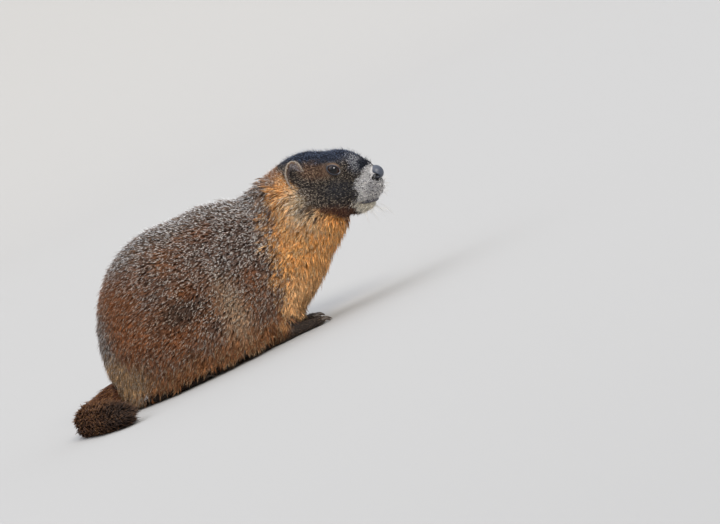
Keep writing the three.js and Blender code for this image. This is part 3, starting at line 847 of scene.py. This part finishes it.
def coat_piece(name, place, normal, ends, dye, wide, hairs, spread, close, slot, stray=0.0, unwrap=None):
    """Locks from roots by way of a middle to a tip. The hairs of a lock start spread out and close up
    towards their tips; a share of stray ones stands out of the coat."""
    count = len(place)

    def each(value):
        """A lock's value, once for every hair of it."""
        return np.repeat(value, hairs, axis=0)

    middle, tip = ends
    lie = unit(tip - place)
    across = np.cross(normal, lie)
    total = count * hairs
    angle, radius = random.uniform(0, 2 * np.pi, total), np.sqrt(random.random(total))
    offset = each(across) * (np.cos(angle) * radius)[:, None] + each(lie) * (np.sin(angle) * radius)[:, None]
    short = random.uniform(0.74, 1.1, (total, 1))
    r, n = each(place), each(normal)
    up = (random.random(total) < stray) * random.uniform(1.5, 4.5, total) + random.normal(0, 0.25, total)
    root = r + offset * spread - n * 0.8
    bend = 0.4 * spread + 0.6 * close
    middle = r + (each(middle) - r) * short + offset * bend + n * (0.4 * up)[:, None]
    tip = r + (each(tip) - r) * short + offset * close + n * up[:, None]
    lowest = random.uniform(0.6, 1.8, total)
    for end in (middle, tip):
        end[:, 2] = np.maximum(end[:, 2], lowest)
    thick = each(np.broadcast_to(wide, count)) * random.uniform(0.75, 1.25, total)
    pale = each(random.random(count) < dye.pale)
    ticked = np.where(pale, random.random(total) < 0.85, random.random(total) < 0.06)
    ticked = ticked * random.uniform(0.6, 1, total)
    tone = each(random.normal(1, 0.17, count)) * random.uniform(0.75, 1.25, total)
    thick = thick * (1 + 0.25 * (ticked > 0))
    unwrap = each(around_body(place) if unwrap is None else unwrap)
    base, pale_end = each(dye.base) * tone[:, None], each(dye.tip)
    piece = spindles(name, root, middle, tip, thick, n, base, pale_end, ticked, unwrap)


# Coat of the trunk
# Coarse guard hair about 15 mm long that lies back along the body and hangs as a hem to the floor. Below the
# belly, where nothing is seen, it is sparse.
def on_body(p):
    """On the blended body itself: not on its feet, forearms or tail."""
    return np.abs(skin_level(p)) < 1.2


def trunk_share(p):
    """1 on the trunk, 0 on the head and neck and off the body."""
    return (1 - head_share(p) - neck_share(p)) * on_body(p)


waist = -102  # the rump's coat is a piece behind here, and the flank's one in front
underside = 17.5
coarse = {"wide": 0.68, "hairs": 4, "spread": 2.2, "close": 0.8, "slot": "body_fur", "stray": 0.1}
for side, sign in signs.items():
    for part, front in (("flank", 1), ("rump", -1)):

        def want(p):
            """1 on this part of the trunk's side, above the belly."""
            here = (sign * p[:, 1] > 0) * (front * (p[:, 0] - waist) > 0) * (p[:, 2] > underside)
            return trunk_share(p) * here

        place, normal = sampled(skin, 1 / 3.5, want)
        x, _, z = place.T
        length = 11.5 + 10 * (1 - ramp(z, 25, 60)) + 4 * ramp(-x, 150, 200)
        rise = 6.4 + 1.2 * ramp(-x, 165, 200) + 1.5 * (1 - ramp(z, 20, 45))
        ends = lying(place, combed(place, normal), length, rise, draped, 0.14)
        coat_piece(f"coat_{part}_{side}", place, normal, ends, mixed_markings(place, 2.0), **coarse)
place, normal = sampled(skin, 1 / 16, lambda p: trunk_share(p) * (p[:, 2] <= underside))
ends = lying(place, combed(place, normal), 14, 5, body)
sparse = {"wide": 0.9, "hairs": 4, "spread": 2.5, "close": 1.2, "slot": "body_fur"}
coat_piece("coat_belly", place, normal, ends, markings(place), **sparse)

# Coat of the neck and breast
# The longest and softest hair of the body, 18 to 26 mm, in locks that run down from behind the ears to the
# forefeet.
soft = {"wide": 0.62, "hairs": 6, "spread": 2.7, "close": 0.9, "slot": "neck_fur", "stray": 0.06}
for side, sign in signs.items():

    def want(p):
        """1 on this side of the neck and breast, whose middle line bends to the right with the neck."""
        return neck_share(p) * on_body(p) * (sign * (p[:, 1] + 0.15 * np.maximum(p[:, 0], 0)) > 0)

    place, normal = sampled(skin, 1 / 3.4, want)
    length = 18 + 6 * (1 - ramp(place[:, 2], 30, 90))
    ends = lying(place, combed(place, normal), length, 8.0, draped, 0.17)
    coat_piece(f"coat_neck_{side}", place, normal, ends, mixed_markings(place, 2.0), **soft)

# Coat of the head
# Short dense hair: 3 mm on the muzzle, 6 mm on the crown and the chin and 8 mm on the cheeks. The eyes, the
# nose, the lips and the cleft between them are bare.
nose_middle, nose_size = np.array([50, 0, 11.2]), np.array([8.2, 7.6, 7.4])
nose_turn = turned(pitch=28)


def eye_axes(side):
    """Gaze of an eye, outward and a little forward and up, with forward and up across it: its front corner
    is the lower one, by 20 degrees against the skull."""
    gaze = unit(skull_turn @ [0.1, signs[side], 0.12])
    forward = skull_turn @ [math.cos(math.radians(20)), 0, -math.sin(math.radians(20))]
    forward = unit(forward - gaze * (forward @ gaze))
    return gaze, forward, -np.cross(gaze, forward) * signs[side]


def beside_eyes(p, half_wide, half_high):
    """True outside an oval round either eye, as seen along its gaze."""
    clear = np.ones(len(p), bool)
    for side, middle in eye_middles.items():
        gaze, forward, upward = eye_axes(side)
        off = p - middle
        oval = np.hypot(off @ forward / half_wide, off @ upward / half_high)
        clear &= oval + (np.abs(off @ gaze) > 14) > 1
    return clear


def head_want(p):
    """1 where the head has hair: not on the lips, the cleft, the nose and the eyes."""
    h = in_skull(p)
    x, y, z = h.T
    below = mouth_line(x) - z
    lips = (below > -1.2) & (below < 1.2 + 4.8 * ramp(x, 34, 44)) & (x > 28)
    cleft = (np.abs(y) < 2.2) & (x > 46) & (z > -13) | (beside_nose(h) < 1.45)
    nose = np.linalg.norm((h - nose_middle) @ nose_turn / nose_size, axis=1) < 1.1
    return head_share(p) * ~lips * ~cleft * ~nose * beside_eyes(p, 10.2, 8.2)


for side, sign in signs.items():
    place, normal = sampled(skin, 1 / 0.95, lambda p: head_want(p) * (sign * in_skull(p)[:, 1] > 0))
    clear = ramp(from_eyes(place), 9, 16)
    forward, _, up = in_skull(place).T
    chin = ramp(-up, 15, 20) * ramp(forward, 28, 34)
    length = blended_parts(place, trunk=20, neck=18, cheek=7.8, crown=6.0, muzzle=3.4)
    length = length * (1 - 0.5 * (1 - clear)) + 3.0 * chin
    rise = blended_parts(place, trunk=7, neck=8, cheek=3.9, crown=2.7, muzzle=1.3)
    rise = rise * (1 - 0.6 * (1 - clear)) + 0.9 * chin
    wide = blended_parts(place, trunk=0.6, neck=0.6, cheek=0.5, crown=0.46, muzzle=0.38)
    ends = lying(place, combed(place, normal), length, rise, body)
    dense = {"wide": wide, "hairs": 3, "spread": 0.9, "close": 0.45, "slot": "head_fur", "stray": 0.07}
    coat_piece(f"coat_head_{side}", place, normal, ends, mixed_markings(place, 0.8), **dense)


# Coat of the legs and feet
# Sleek hair 4 to 8 mm long on the forearms, with a feather of 20 mm behind the elbow, and 3 to 4 mm long on
# the toes, pointing at the claws.
def on_limb(p):
    """Off the blended body, on a leg or a foot, and not on its sole."""
    x, y, z = p.T
    return ~on_body(p) & (x > -200) & (np.abs(y) > 18) & (z < 42) & (z > 1.5) & (skin_level(p) > -7)


place, normal = sampled(skin, 1 / 1.7, on_limb)
lie = np.stack([0.35 + 0 * place[:, 0], 0 * place[:, 0], -ramp(place[:, 2], 8, 16)], axis=-1)
lie = laid_on(normal, lie)
feather = ramp(-place[:, 0], 8, 20) * (1 - ramp(-place[:, 0], 60, 70)) * ramp(place[:, 2], 8, 14)
lie = unit(lie + feather[:, None] * [-0.9, 0, -1.2])
long = (3.5 + 5 * ramp(place[:, 2], 9, 24) + 13 * feather)[:, None]
ends = place + (lie * 0.66 + normal * 0.14) * long, place + (lie + normal * 0.18) * long
sleek = {"wide": 0.5, "hairs": 2, "spread": 0.8, "close": 0.5, "slot": "foot_fur"}
coat_piece("coat_feet", place, normal, ends, markings(place), **sleek)

# Coat of the tail
# Bushy hair 26 to 34 mm long all round the tail, which follows its bend, stands out from it like a bottle
# brush and is pressed flat where it lies on the floor.
count = 4400
t = random.random(count) * 0.99
turn = random.uniform(0, 2 * np.pi, count)
long = random.uniform(26, 34, count) / tail_length
bushy = tail_radius * (0.8 + 0.2 * ramp(t, 0.05, 0.4)) * random.uniform(0.8, 1.05, count)
bushy = bushy * (1 - ramp(t + long, 0.9, 1.2) * random.uniform(0.3, 1, count))
sway = random.normal(0, 0.14, count)
place, normal = tail_point(t, turn, tail_core(t))
core = np.minimum(tail_core(t + 0.6 * long), bushy * 0.8)
middle = tail_point(t + 0.62 * long, turn + 0.6 * sway, core + (bushy - core) * 0.75)[0]
ends = middle, tail_point(t + 0.95 * long, turn + sway, bushy)[0]
unwrap = np.stack([0.02 + 0.9 * t, turn / (2 * np.pi)], axis=-1)
brush = {"wide": 0.85, "hairs": 5, "spread": 2.4, "close": 1.5, "slot": "tail_fur", "stray": 0.08}
coat_piece("coat_tail", place, normal, ends, tail_markings(t), unwrap=unwrap, **brush)


# Eyes
# Glass eyes as a taxidermist sets them: a dark brown iris round a wide pupil, under a clear domed cornea. The
# coloured glass lies matt below a clear polished coat, so the eye stays deep and shows one small highlight.
def shown_colour(tree):
    """The colour that is stored on the vertices."""
    return {"colour": node(tree, "ShaderNodeAttribute", attribute_name="coat").outputs["Color"]}


polish = {"Coat_Weight": 0.6, "Coat_Roughness": 0.02, "Coat_IOR": 1.6, "Specular_IOR_Level": 0.0}
glass = material_of("eye_glass", {"Base Color": "colour"}, shown_colour, Roughness=0.5, **polish)
for side, middle in eye_middles.items():
    gaze, forward, upward = eye_axes(side)
    polar, turn = np.meshgrid(np.linspace(0, np.pi, 42)[1:-1], circle_turns(48), indexing="ij")
    radius = eye_radius * (0.98 + 0.06 * np.exp(-((polar / 0.55) ** 2)))
    ring = swung(turn, forward, upward)
    grid = middle + radius[..., None] * (np.sin(polar)[..., None] * ring + np.cos(polar)[..., None] * gaze)
    poles = middle + gaze * eye_radius * 1.04, middle - gaze * eye_radius * 0.98
    points, quads, caps = closed_grid(grid, *poles)
    ball = add_mesh(f"eyeball_{side}", points, quads, caps)
    from_gaze = np.arccos(np.clip(unit(points - middle) @ gaze, -1, 1))
    iris = Dye(len(points), "#060405")
    iris.paint(ramp(from_gaze, 0.5, 0.62), "#2a170d")
    iris.paint(ramp(from_gaze, 0.85, 1.0), "#0c0808")
    keep_colours(ball.data, coat=iris.base)
    ball.data.materials.append(glass)
    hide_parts(f"eye_{side}")


# Eyelids
# Almond-shaped rims of dark bare skin that lie on the eyeball and slope down under the hair of the face, with
# a coat of velvet 2 mm long outside the rim. Its grain gives bare skin its fine wrinkles.
def wrinkled(per_metre, strength, depth):
    """Bare skin with a relief of small cells: their number to a metre, how strong and how deep."""

    def setup(tree):
        """Height from the distance to the nearest cell's middle, and the stored colour."""
        place = node(tree, "ShaderNodeTexCoord")
        cells = node(tree, "ShaderNodeTexVoronoi", [("Vector", place.outputs["Object"])], Scale=per_metre)
        height = [("Height", cells.outputs["Distance"])]
        bump = node(tree, "ShaderNodeBump", height, Strength=strength, Distance=depth)
        return {"relief": bump.outputs["Normal"], **shown_colour(tree)}

    return setup


bare_leather = material_of("lid_leather", coloured_relief, wrinkled(1400.0, 0.35, 0.0004), Roughness=0.45)
open_wide, open_high = 6.4, 4.2
lid_wide, lid_high = 11.5, 9.6
lid_rows, lid_turns = 24, 72


def lid_surface(side, out, turn):
    """Eyelids over distance out from the opening and turn round it: a rounded edge on the ball, a shallow
    fold, and then the slope of the face."""
    middle = eye_middles[side]
    gaze, forward, upward = eye_axes(side)
    c, s = np.cos(turn), np.sin(turn)
    wide = open_wide * c * (1 + 0.05 * c**4) + (lid_wide - open_wide) * c * out
    high = open_high * s * np.abs(s) ** 0.12 + (lid_high - open_high) * s * out
    start = middle - gaze * 6 + wide[:, None] * forward + high[:, None] * upward
    face = (leaving(skin_level, start, gaze + 0 * start, 24) - middle) @ gaze
    edge = 0.55 * np.sin(np.pi * np.clip(out / 0.22, 0, 1)) - 0.35 * np.exp(-(((out - 0.34) / 0.09) ** 2))
    ball = np.sqrt(np.maximum((eye_radius + 0.25) ** 2 - wide**2 - high**2, 9)) + edge
    over = ramp(out, 0.22, 0.85)
    height = (1 - over) * np.maximum(ball, face) + over * face - 0.8 * ramp(out, 0.9, 1.0)
    return middle + wide[:, None] * forward + high[:, None] * upward + height[:, None] * gaze


velvet = {"wide": 0.36, "hairs": 3, "spread": 0.7, "close": 0.4, "slot": "head_fur"}
for side, middle in eye_middles.items():
    gaze, forward, upward = eye_axes(side)
    out, turn = np.meshgrid(np.linspace(0, 1, lid_rows), circle_turns(lid_turns), indexing="ij")
    grid = lid_surface(side, out.ravel(), turn.ravel()).reshape(lid_rows, lid_turns, 3)
    tucked = grid[:1] - gaze * 2.2 + (grid[:1] - middle) * 0.04
    grid = np.concatenate([tucked, grid, grid[-1:] - gaze * 3])
    points, quads, caps = closed_grid(grid, middle + gaze * 2, middle - gaze * 3)
    lid = add_mesh(f"eyelids_{side}", points, quads, caps)
    out = np.concatenate([np.zeros(lid_turns), out.ravel(), np.ones(lid_turns), [0, 1]])
    off = points - middle
    rim = Dye(len(points), "#2f333c")
    rim.paint(ramp(out, 0.2, 0.4), "#5a4a3e")
    rim.paint(ramp(out, 0.12, 0.3) * ramp(off @ upward, 1.0, 3.5), "#7a624e")
    rim.paint((1 - ramp(out, 0.05, 0.2)) * ramp(off @ forward, 5.2, 6.2), "#9c9a9c")
    keep_colours(lid.data, coat=rim.base)
    lid.data.materials.append(bare_leather)
    out, turn = random.uniform(0.34, 1, 1300), random.uniform(0, 2 * np.pi, 1300)
    place = lid_surface(side, out, turn)
    normal = unit(outward(place) + gaze)
    lie = combed(place, normal) * (1.1 + 1.4 * out)[:, None]
    dye = markings(place)
    brow = (1 - ramp(out, 0.38, 0.6)) * ramp((place - middle) @ upward, 2, 5)
    dye.paint(0.8 * brow, "#8a6f58", "#c8ac8c", 0.5)
    ends = place + lie * 0.66 + normal * 0.35, place + lie + normal * 0.45
    coat_piece(f"coat_lids_{side}", place, normal, ends, dye, **velvet)


# Nose
# A grey leathery pad with comma-shaped nostrils and a groove down its middle; a thin wet film over pebbles
# about 1 mm across makes it look slightly moist.
def nose_radius(ray):
    """1 on the egg, less in a groove down the middle and in a nostril on each side that trails back."""
    x, y, z = ray[..., 0], np.abs(ray[..., 1]), ray[..., 2]
    groove = 0.1 * np.exp(-((y / 0.07) ** 2)) * ramp(x, 0.2, 0.6) * ramp(-z, -0.5, 0.0)
    hole = 0.6 * np.exp(-(((x - 0.47) / 0.26) ** 2) - ((y - 0.86) / 0.24) ** 2 - ((z + 0.24) / 0.18) ** 2)
    trail = 0.36 * np.exp(-(((x - 0.1) / 0.3) ** 2) - ((y - 0.97) / 0.2) ** 2 - ((z + 0.14) / 0.11) ** 2)
    wing = 0.08 * np.exp(-(((x - 0.4) / 0.35) ** 2) - ((y - 0.85) / 0.3) ** 2 - ((z - 0.08) / 0.18) ** 2)
    return 1.0 - groove - hole - trail + wing


def nose_place(ray):
    """Place on the pad in a direction from its middle."""
    return from_skull(nose_middle + (nose_radius(ray)[..., None] * ray * nose_size) @ nose_turn.T)


polar, turn = np.meshgrid(np.linspace(0, np.pi, 62)[1:-1], circle_turns(72), indexing="ij")
ray = np.stack([np.cos(polar), np.sin(polar) * np.cos(turn), np.sin(polar) * np.sin(turn)], axis=-1)
poles = np.array([[1.0, 0, 0], [-1.0, 0, 0]])
nose = add_mesh("nose_pad", *closed_grid(nose_place(ray), *nose_place(poles)))
rays = np.concatenate([ray.reshape(-1, 3), poles])
pad = Dye(len(rays), "#3d424f")
# The pad is darker towards its underside, and its nostril hollows are painted near black as the shade inside
# them.
pad.paint(ramp(-rays[:, 2], 0.0, 0.7), "#2f3039")
pad.paint(1 - ramp(nose_radius(rays), 0.74, 0.95), "#0a090b")
keep_colours(nose.data, coat=pad.base)
wet = {"Roughness": 0.42, "Coat_Weight": 0.25, "Coat_Roughness": 0.2}
pebbled = wrinkled(1100.0, 0.5, 0.0005)
nose.data.materials.append(material_of("nose_leather", coloured_relief, pebbled, **wet))
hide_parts("nose")


# Lower lip
# A bare dark grey lip, thickest in front, that follows the mouth line round the front of the chin. It is a
# tube half sunk in the skin.
def at_mouth(h, drop):
    """Places below the mouth line by a drop, at distances forward and to the left on the skull."""
    return from_skull(np.stack([h[:, 0], h[:, 1], mouth_line(h[:, 0]) - drop], axis=-1))


def round_muzzle(turn, drop):
    """Places on the skin round the muzzle, along rays that turn about a point inside the jaw."""
    ray = np.stack([np.cos(turn), np.sin(turn), 0 * turn], axis=-1)
    start = np.array([33.0, 0, 0]) + 0 * ray
    far = halved(lambda h: skin_level(at_mouth(h, drop)), start, ray, 0 * turn, 30 + 0 * turn)
    return at_mouth(start + ray * far[:, None], drop)


turn = np.radians(np.linspace(-104, 104, 61))
path = round_muzzle(turn, 3.3)
thick = 0.5 + 2.3 * np.cos(turn * 0.85) ** 0.7
lip = add_mesh("lower_lip", *carried(path - outward(path) * 1.0, thick, 16))
keep_colours(lip.data, coat=Dye(len(lip.data.vertices), "#46454c").base)
lip.data.materials.append(bare_leather)

# Ears
# Rounded cups of gristle 33 mm high, let into the coat behind the cheeks: a pale furry rim, dark and nearly
# bare inside. The outer face leads down into the skull.
ear_half = np.array([9.4, 14.6])


def ear_cup(side, out, turn, inner):
    """Cup over distance from its middle and turn round its rim: an oval whose rim stands higher at the back
    and top than in front, with its ways outward along the rim, into the opening and up."""
    sign = signs[side]
    axes = turned(pitch=4, yaw=math.degrees(math.atan2(sign, 0.5)) + head_yaw, roll=11 * sign)
    opens, forward, up = axes[:, 0], -sign * axes[:, 1], axes[:, 2]
    ray = skull_turn @ unit(np.array([0, sign, 0.1]))
    middle = leaving(body, from_skull(np.array([[-32, 0, 11.5]])), ray[None])[0]
    rear = 0.5 - 0.5 * np.cos(turn - 0.35)
    depth = (1.5 + 4.0 * rear**0.8) * out**2.2 - 3.0 * (1 - out**2)
    if not inner:
        depth = depth - 1.3 - 7 * (1 - out) ** 1.6 - 0.4 * (1 - ramp(out, 0.9, 1.0))
    curl = 1.0 - 0.1 * rear * ramp(out, 0.85, 1.0)
    wide, high = ear_half[0] * np.cos(turn) * out * curl, ear_half[1] * np.sin(turn) * out * curl
    radial = unit(swung(turn, forward, up))
    place = middle + wide[..., None] * forward + high[..., None] * up + depth[..., None] * opens
    return place, radial, opens, up


short_fur = {"wide": 0.4, "hairs": 2, "spread": 0.7, "close": 0.5, "slot": "head_fur"}
for side in eye_middles:
    steps = np.linspace(0.04, 1, 22)
    faces = [np.meshgrid(rows, circle_turns(64), indexing="ij") for rows in (steps, steps[::-1])]
    grid = np.concatenate([ear_cup(side, *face, inner)[0] for face, inner in zip(faces, (True, False))])
    poles = [ear_cup(side, np.zeros(1), np.zeros(1), inner)[0][0] for inner in (True, False)]
    points, quads, caps = closed_grid(grid, *poles)
    cup = add_mesh(f"ear_{side}", points, quads, caps)
    out = np.concatenate([faces[0][0].ravel(), faces[1][0].ravel(), [0, 0]])
    front = np.arange(len(points)) < faces[0][0].size
    gristle = Dye(len(points), "#8a6a48")
    gristle.paint(front * (1 - ramp(out, 0.7, 0.95)), "#4a3a32")
    gristle.paint(front * (1 - ramp(out, 0.25, 0.65)), "#151011")
    keep_colours(cup.data, coat=gristle.base)
    cup.data.materials.append(bare_leather)
    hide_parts(f"ear_{side}")
    count = 3300
    out, turn = random.random(count) ** 0.5, random.uniform(0, 2 * np.pi, count)
    front = random.random(count) < 0.45
    inside, radial, opens, up = ear_cup(side, out, turn, True)
    place = np.where(front[:, None], inside, ear_cup(side, out, turn, False)[0])
    normal = unit(np.where(front[:, None], opens - radial * 0.5 * out[:, None], -opens * 0.6 + radial))
    lie = laid_on(normal, radial + 0.3 * up + 0.35 * random.normal(size=(count, 3)))
    rim = ramp(out, 0.8, 0.97)
    dye = Dye(count, "#8f6640", "#ecd6b0", 0.4)
    dye.paint(front, "#7a7278", "#ece6e2", 0.6)
    dye.paint(front * (1 - ramp(out, 0.2, 0.6)), "#2a2220", pale=0.2)
    dye.paint(rim, "#b8a898", "#f8efe2", 0.6)
    long = (np.where(front, 2.8, 3.4) - 0.6 * rim)[:, None]
    ends = place + (lie * 0.66 + normal * 0.18) * long, place + (lie + normal * 0.22) * long
    unwrap = np.stack([0.3 + 0.2 * out * np.cos(turn), 0.5 + 0.2 * out * np.sin(turn)], axis=-1)
    unwrap = unwrap + np.where(front, 0.0, 0.42)[:, None] * [1, 0]
    coat_piece(f"coat_ear_{side}", place, normal, ends, dye, unwrap=unwrap, **short_fur)


# Claws
# Blunt horn claws, slightly hooked, one on each toe and let in under its tip. The horn is dark with paler
# streaks about 2 mm wide, and polished by wear.
def streaked(tree):
    """Dark to pale horn by a noise."""
    place = node(tree, "ShaderNodeTexCoord")
    streak = node(tree, "ShaderNodeTexNoise", [("Vector", place.outputs["Object"])], Scale=500.0, Detail=2.0)
    tint = node(tree, "ShaderNodeValToRGB", [("Fac", streak.outputs["Fac"])])
    for stop, code in zip(tint.color_ramp.elements, ("#1c1613", "#5a4a3c")):
        stop.color = (*linear(code), 1)
    return {"colour": tint.outputs["Color"]}


horn = material_of("claw_horn", {"Base Color": "colour"}, streaked, Roughness=0.38)
taper = np.linspace(1.9, 0.35, 12)
for foot, label in ((forefoot, "fore"), (hindfoot, "hind")):
    for side, sign in signs.items():
        nails = [carried(smooth_path(claw, len(taper)), taper, 12) for _, claw, _ in toe_lines(foot, sign)]
        claws = add_mesh(f"claws_{label}_{side}", *all_faces(nails))
        claws.data.materials.append(horn)

# Whiskers
# Stiff pale bristles 8 to 14 mm long on the lips and a few longer ones below the chin, each out of a dark
# spot of short hair; the spots stand in rows.
columns = np.radians([20, 30, 40, 50, 60, 70, 80, 90, 99])
rows = [-3.2, -5.6, -8, -10.4, -12.8, -15.4, -18, 5, 8]  # below the mouth line: the last two are on the chin
turn, drop = np.meshgrid(columns, rows)
turn, drop = np.concatenate([turn.ravel(), -turn.ravel()]), np.tile(drop.ravel(), 2)
count = len(turn)
place = round_muzzle(turn + random.normal(0, 0.05, count), drop + random.normal(0, 0.35, count))
normal = outward(place)
lie = combed(place, normal)
on_chin = drop > 0
ends = place + lie * 1.3 + normal * 1.6, place + lie * 2.4 + normal * 1.8
dots = Dye(count, "#35323c")
dots.base[on_chin] = linear("#cfc6b6")
spot = {"wide": 0.7, "hairs": 3, "spread": 0.3, "close": 0.3, "slot": "head_fur"}
coat_piece("coat_follicles", place, normal, ends, dots, **spot)
lie = unit(normal * 0.8 + skull_turn @ [0.3, 0, -0.15] + 0.25 * random.normal(size=(count, 3)))
long = random.uniform(8, 14, count) + 12 * on_chin * (random.random(count) < 0.4)
tip = place + lie * long[:, None] - np.array([0, 0, 0.02]) * (long**1.5)[:, None]
white = Dye(count, "#e6e0d4").base
ends = place - normal, place + lie * (long * 0.6)[:, None], tip
wide = random.uniform(0.2, 0.3, count)
bristles = spindles("whiskers", *ends, wide, normal, white, white, np.zeros(count), around_body(place))

# Stage
# A pale studio floor that rises far off into a wide rim, under a soft sun from in front, whose reflection
# lights the eye, a broader one from above and an even sky.
around = 96
turn = circle_turns(around)
bend = np.linspace(0, np.pi / 2, 12)
radii = np.concatenate([[40, 400, 2000], 4200 + 2500 * np.sin(bend)])
heights = np.concatenate([[0, 0, 0], 2500 - 2500 * np.cos(bend)])
ring = np.stack([np.cos(turn), np.sin(turn), 0 * turn], axis=-1)
middle = -origin * [1, 1, 0]
grid = middle + ring * radii[:, None, None] + np.array([0, 0, 1.0]) * heights[:, None, None]
index, right, quads = tube_quads(len(radii), around)
disc = np.stack([np.full(around, index.size), index[0], right[0]], axis=-1)
floor = add_mesh("studio_floor", np.concatenate([grid.reshape(-1, 3), [middle]]), quads, disc)
paper = material_of("studio_paper", {}, lambda tree: {}, Roughness=0.9, Base_Color=(*linear("#a8a6a3"), 1))
floor.data.materials.append(paper)


def soft_sun(name, place, strength, spread, code):
    """A sun of a given spread in degrees that shines from a place onto the animal's middle."""
    light = bpy.data.lights.new(name, "SUN")
    light.energy, light.angle, light.color = strength, math.radians(spread), linear(code)
    sun = bpy.data.objects.new(name, light)
    bpy.context.scene.collection.objects.link(sun)
    sun.location = place
    x, y, z = np.array(place) - [0, 0, 0.08]
    sun.rotation_euler = (math.atan2(math.hypot(x, y), z), 0, math.atan2(y, x) + math.pi / 2)
    sun.visible_camera = False


soft_sun("key", (0.3, -1.0, 0.8), 2.5, 26, "#fffaf2")
soft_sun("top", (-0.5, 0.3, 1.6), 1.5, 70, "#f4f6ff")
world = bpy.data.worlds.new("studio")
world.use_nodes = True
sky = world.node_tree.nodes["Background"]
sky.inputs["Color"].default_value = (*linear("#e2e8f0"), 1)
sky.inputs["Strength"].default_value = 1.15
bpy.context.scene.world = world
bpy.context.scene.view_settings.view_transform = "Standard"

# Camera
# A long lens that looks at the animal's right side from slightly above the floor, rolled by 25 degrees so
# that the level floor runs down to the right as a slope does.
slope, azimuth, elevation = np.radians([25, -5, 5])
aim = np.array([77.4, -10, 39.2])
distance = 3780
flat = math.cos(elevation)
back = np.array([math.sin(azimuth) * flat, -math.cos(azimuth) * flat, math.sin(elevation)])
level_right = np.array([math.cos(azimuth), math.sin(azimuth), 0])
level_up = np.cross(back, level_right)
view = np.eye(4)
view[:3, 0] = math.cos(slope) * level_right - math.sin(slope) * level_up
view[:3, 1] = math.sin(slope) * level_right + math.cos(slope) * level_up
view[:3, 2] = back
view[:3, 3] = (aim + origin + back * distance) / 1000
camera = bpy.data.objects.new("camera", bpy.data.cameras.new("camera"))
bpy.context.scene.collection.objects.link(camera)
camera.matrix_world = Matrix(view.tolist())
camera.data.lens, camera.data.sensor_width, camera.data.clip_end = 180, 36, 50
bpy.context.scene.camera = camera
